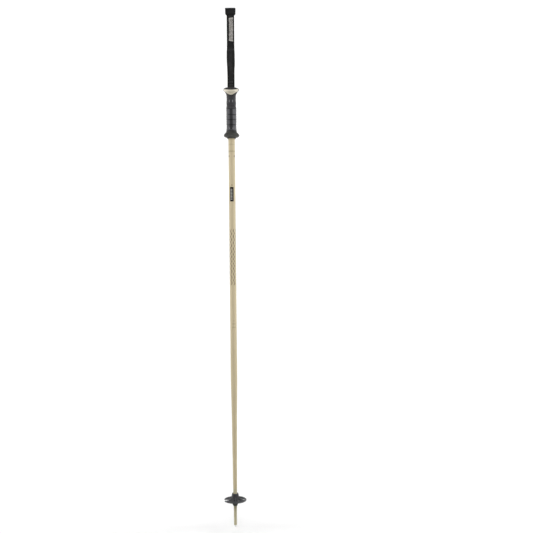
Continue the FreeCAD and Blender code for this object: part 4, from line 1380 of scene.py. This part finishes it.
def make_floor():
    width, front, back, height, curve = 3.0, -3.0, 1.2, 3.0, 0.6
    path = [(front, 0.0)]
    path += [(back - curve + curve * math.sin(a), curve - curve * math.cos(a)) for a in steps(0, math.pi / 2, 16)]
    path.append((back, height))
    points = [(-width, y, z) for y, z in path] + [(width, y, z) for y, z in path]
    count = len(path)
    faces = [[i, i + 1, count + i + 1, count + i] for i in range(count - 1)]
    sweep = link("sweep", mesh_from("sweep", points, faces))
    smooth(sweep, 60)
    paint = Paint("studio_paper")
    fibre = paint.noise(400, 3, 0.6)
    shade = paint.mix(fibre, (0.93, 0.93, 0.93, 1), (0.96, 0.96, 0.96, 1))
    sweep.data.materials.append(paint.finish(shade, 0.9, paint.bump(fibre, 0.05), Specular_IOR_Level=0.1))


def soft_light(name, place, aim, width, height, power, tint=(1, 1, 1)):
    lamp = bpy.data.lights.new(name, "AREA")
    lamp.shape = "RECTANGLE"
    lamp.size = width
    lamp.size_y = height
    lamp.energy = power
    lamp.color = tint
    thing = bpy.data.objects.new(name, lamp)
    bpy.context.scene.collection.objects.link(thing)
    thing.location = place
    thing.rotation_euler = (Vector(aim) - Vector(place)).to_track_quat("-Z", "Y").to_euler()
    return thing


def make_world():
    """White all round, but dimmer on the camera's side of the studio."""
    world = bpy.data.worlds.new("studio")
    bpy.context.scene.world = world
    world.use_nodes = True
    tree = world.node_tree
    place = tree.nodes.new("ShaderNodeTexCoord")
    axes = tree.nodes.new("ShaderNodeSeparateXYZ")
    tree.links.new(place.outputs["Generated"], axes.inputs[0])
    towards_back = faded(tree, axes.outputs[1], (-0.95, -0.1), (0.42, 0.50))
    from_above = faded(tree, axes.outputs[2], (0.0, 0.9), (1.0, 0.45))
    strength = tree.nodes.new("ShaderNodeMath")
    strength.operation = "MULTIPLY"
    tree.links.new(towards_back, strength.inputs[0])
    tree.links.new(from_above, strength.inputs[1])
    tree.links.new(strength.outputs[0], tree.nodes["Background"].inputs["Strength"])
    tree.nodes["Background"].inputs["Color"].default_value = (1, 1, 1, 1)


def faded(tree, value, start_and_end, low_and_high):
    fade = tree.nodes.new("ShaderNodeMapRange")
    fade.interpolation_type = "SMOOTHSTEP"
    fade.inputs["From Min"].default_value, fade.inputs["From Max"].default_value = start_and_end
    fade.inputs["To Min"].default_value, fade.inputs["To Max"].default_value = low_and_high
    tree.links.new(value, fade.inputs["Value"])
    return fade.outputs[0]


def make_camera():
    lens = bpy.data.cameras.new("camera")
    camera = bpy.data.objects.new("camera", lens)
    bpy.context.scene.collection.objects.link(camera)
    camera.location = (CAMERA_X, -CAMERA_DISTANCE, CAMERA_Z)
    camera.rotation_euler = (Matrix.Rotation(math.radians(90), 3, "X") @ Matrix.Rotation(-LEAN, 3, "Z")).to_euler()
    lens.sensor_width = 36
    lens.sensor_fit = "HORIZONTAL"
    lens.lens = 36 * FOCAL_SHARE
    bpy.context.scene.camera = camera


make_floor()
make_world()
make_camera()
soft_light("left_box", (-1.1, -1.2, 0.9), (0, 0, 0.75), 0.4, 2.2, 5.5)
soft_light("right_box", (1.2, -1.1, 0.9), (0, 0, 0.75), 0.4, 2.2, 6.5)
soft_light("key_box", (0.0, -1.5, 2.1), (0, 0, 1.05), 1.5, 0.35, 10)
soft_light("backdrop_left", (-1.9, 0.1, 1.4), (0, 1.2, 0.9), 0.6, 2.4, 26)
soft_light("backdrop_right", (1.9, 0.1, 1.4), (0, 1.2, 0.9), 0.6, 2.4, 26)
bpy.context.scene.view_settings.view_transform = "Standard"
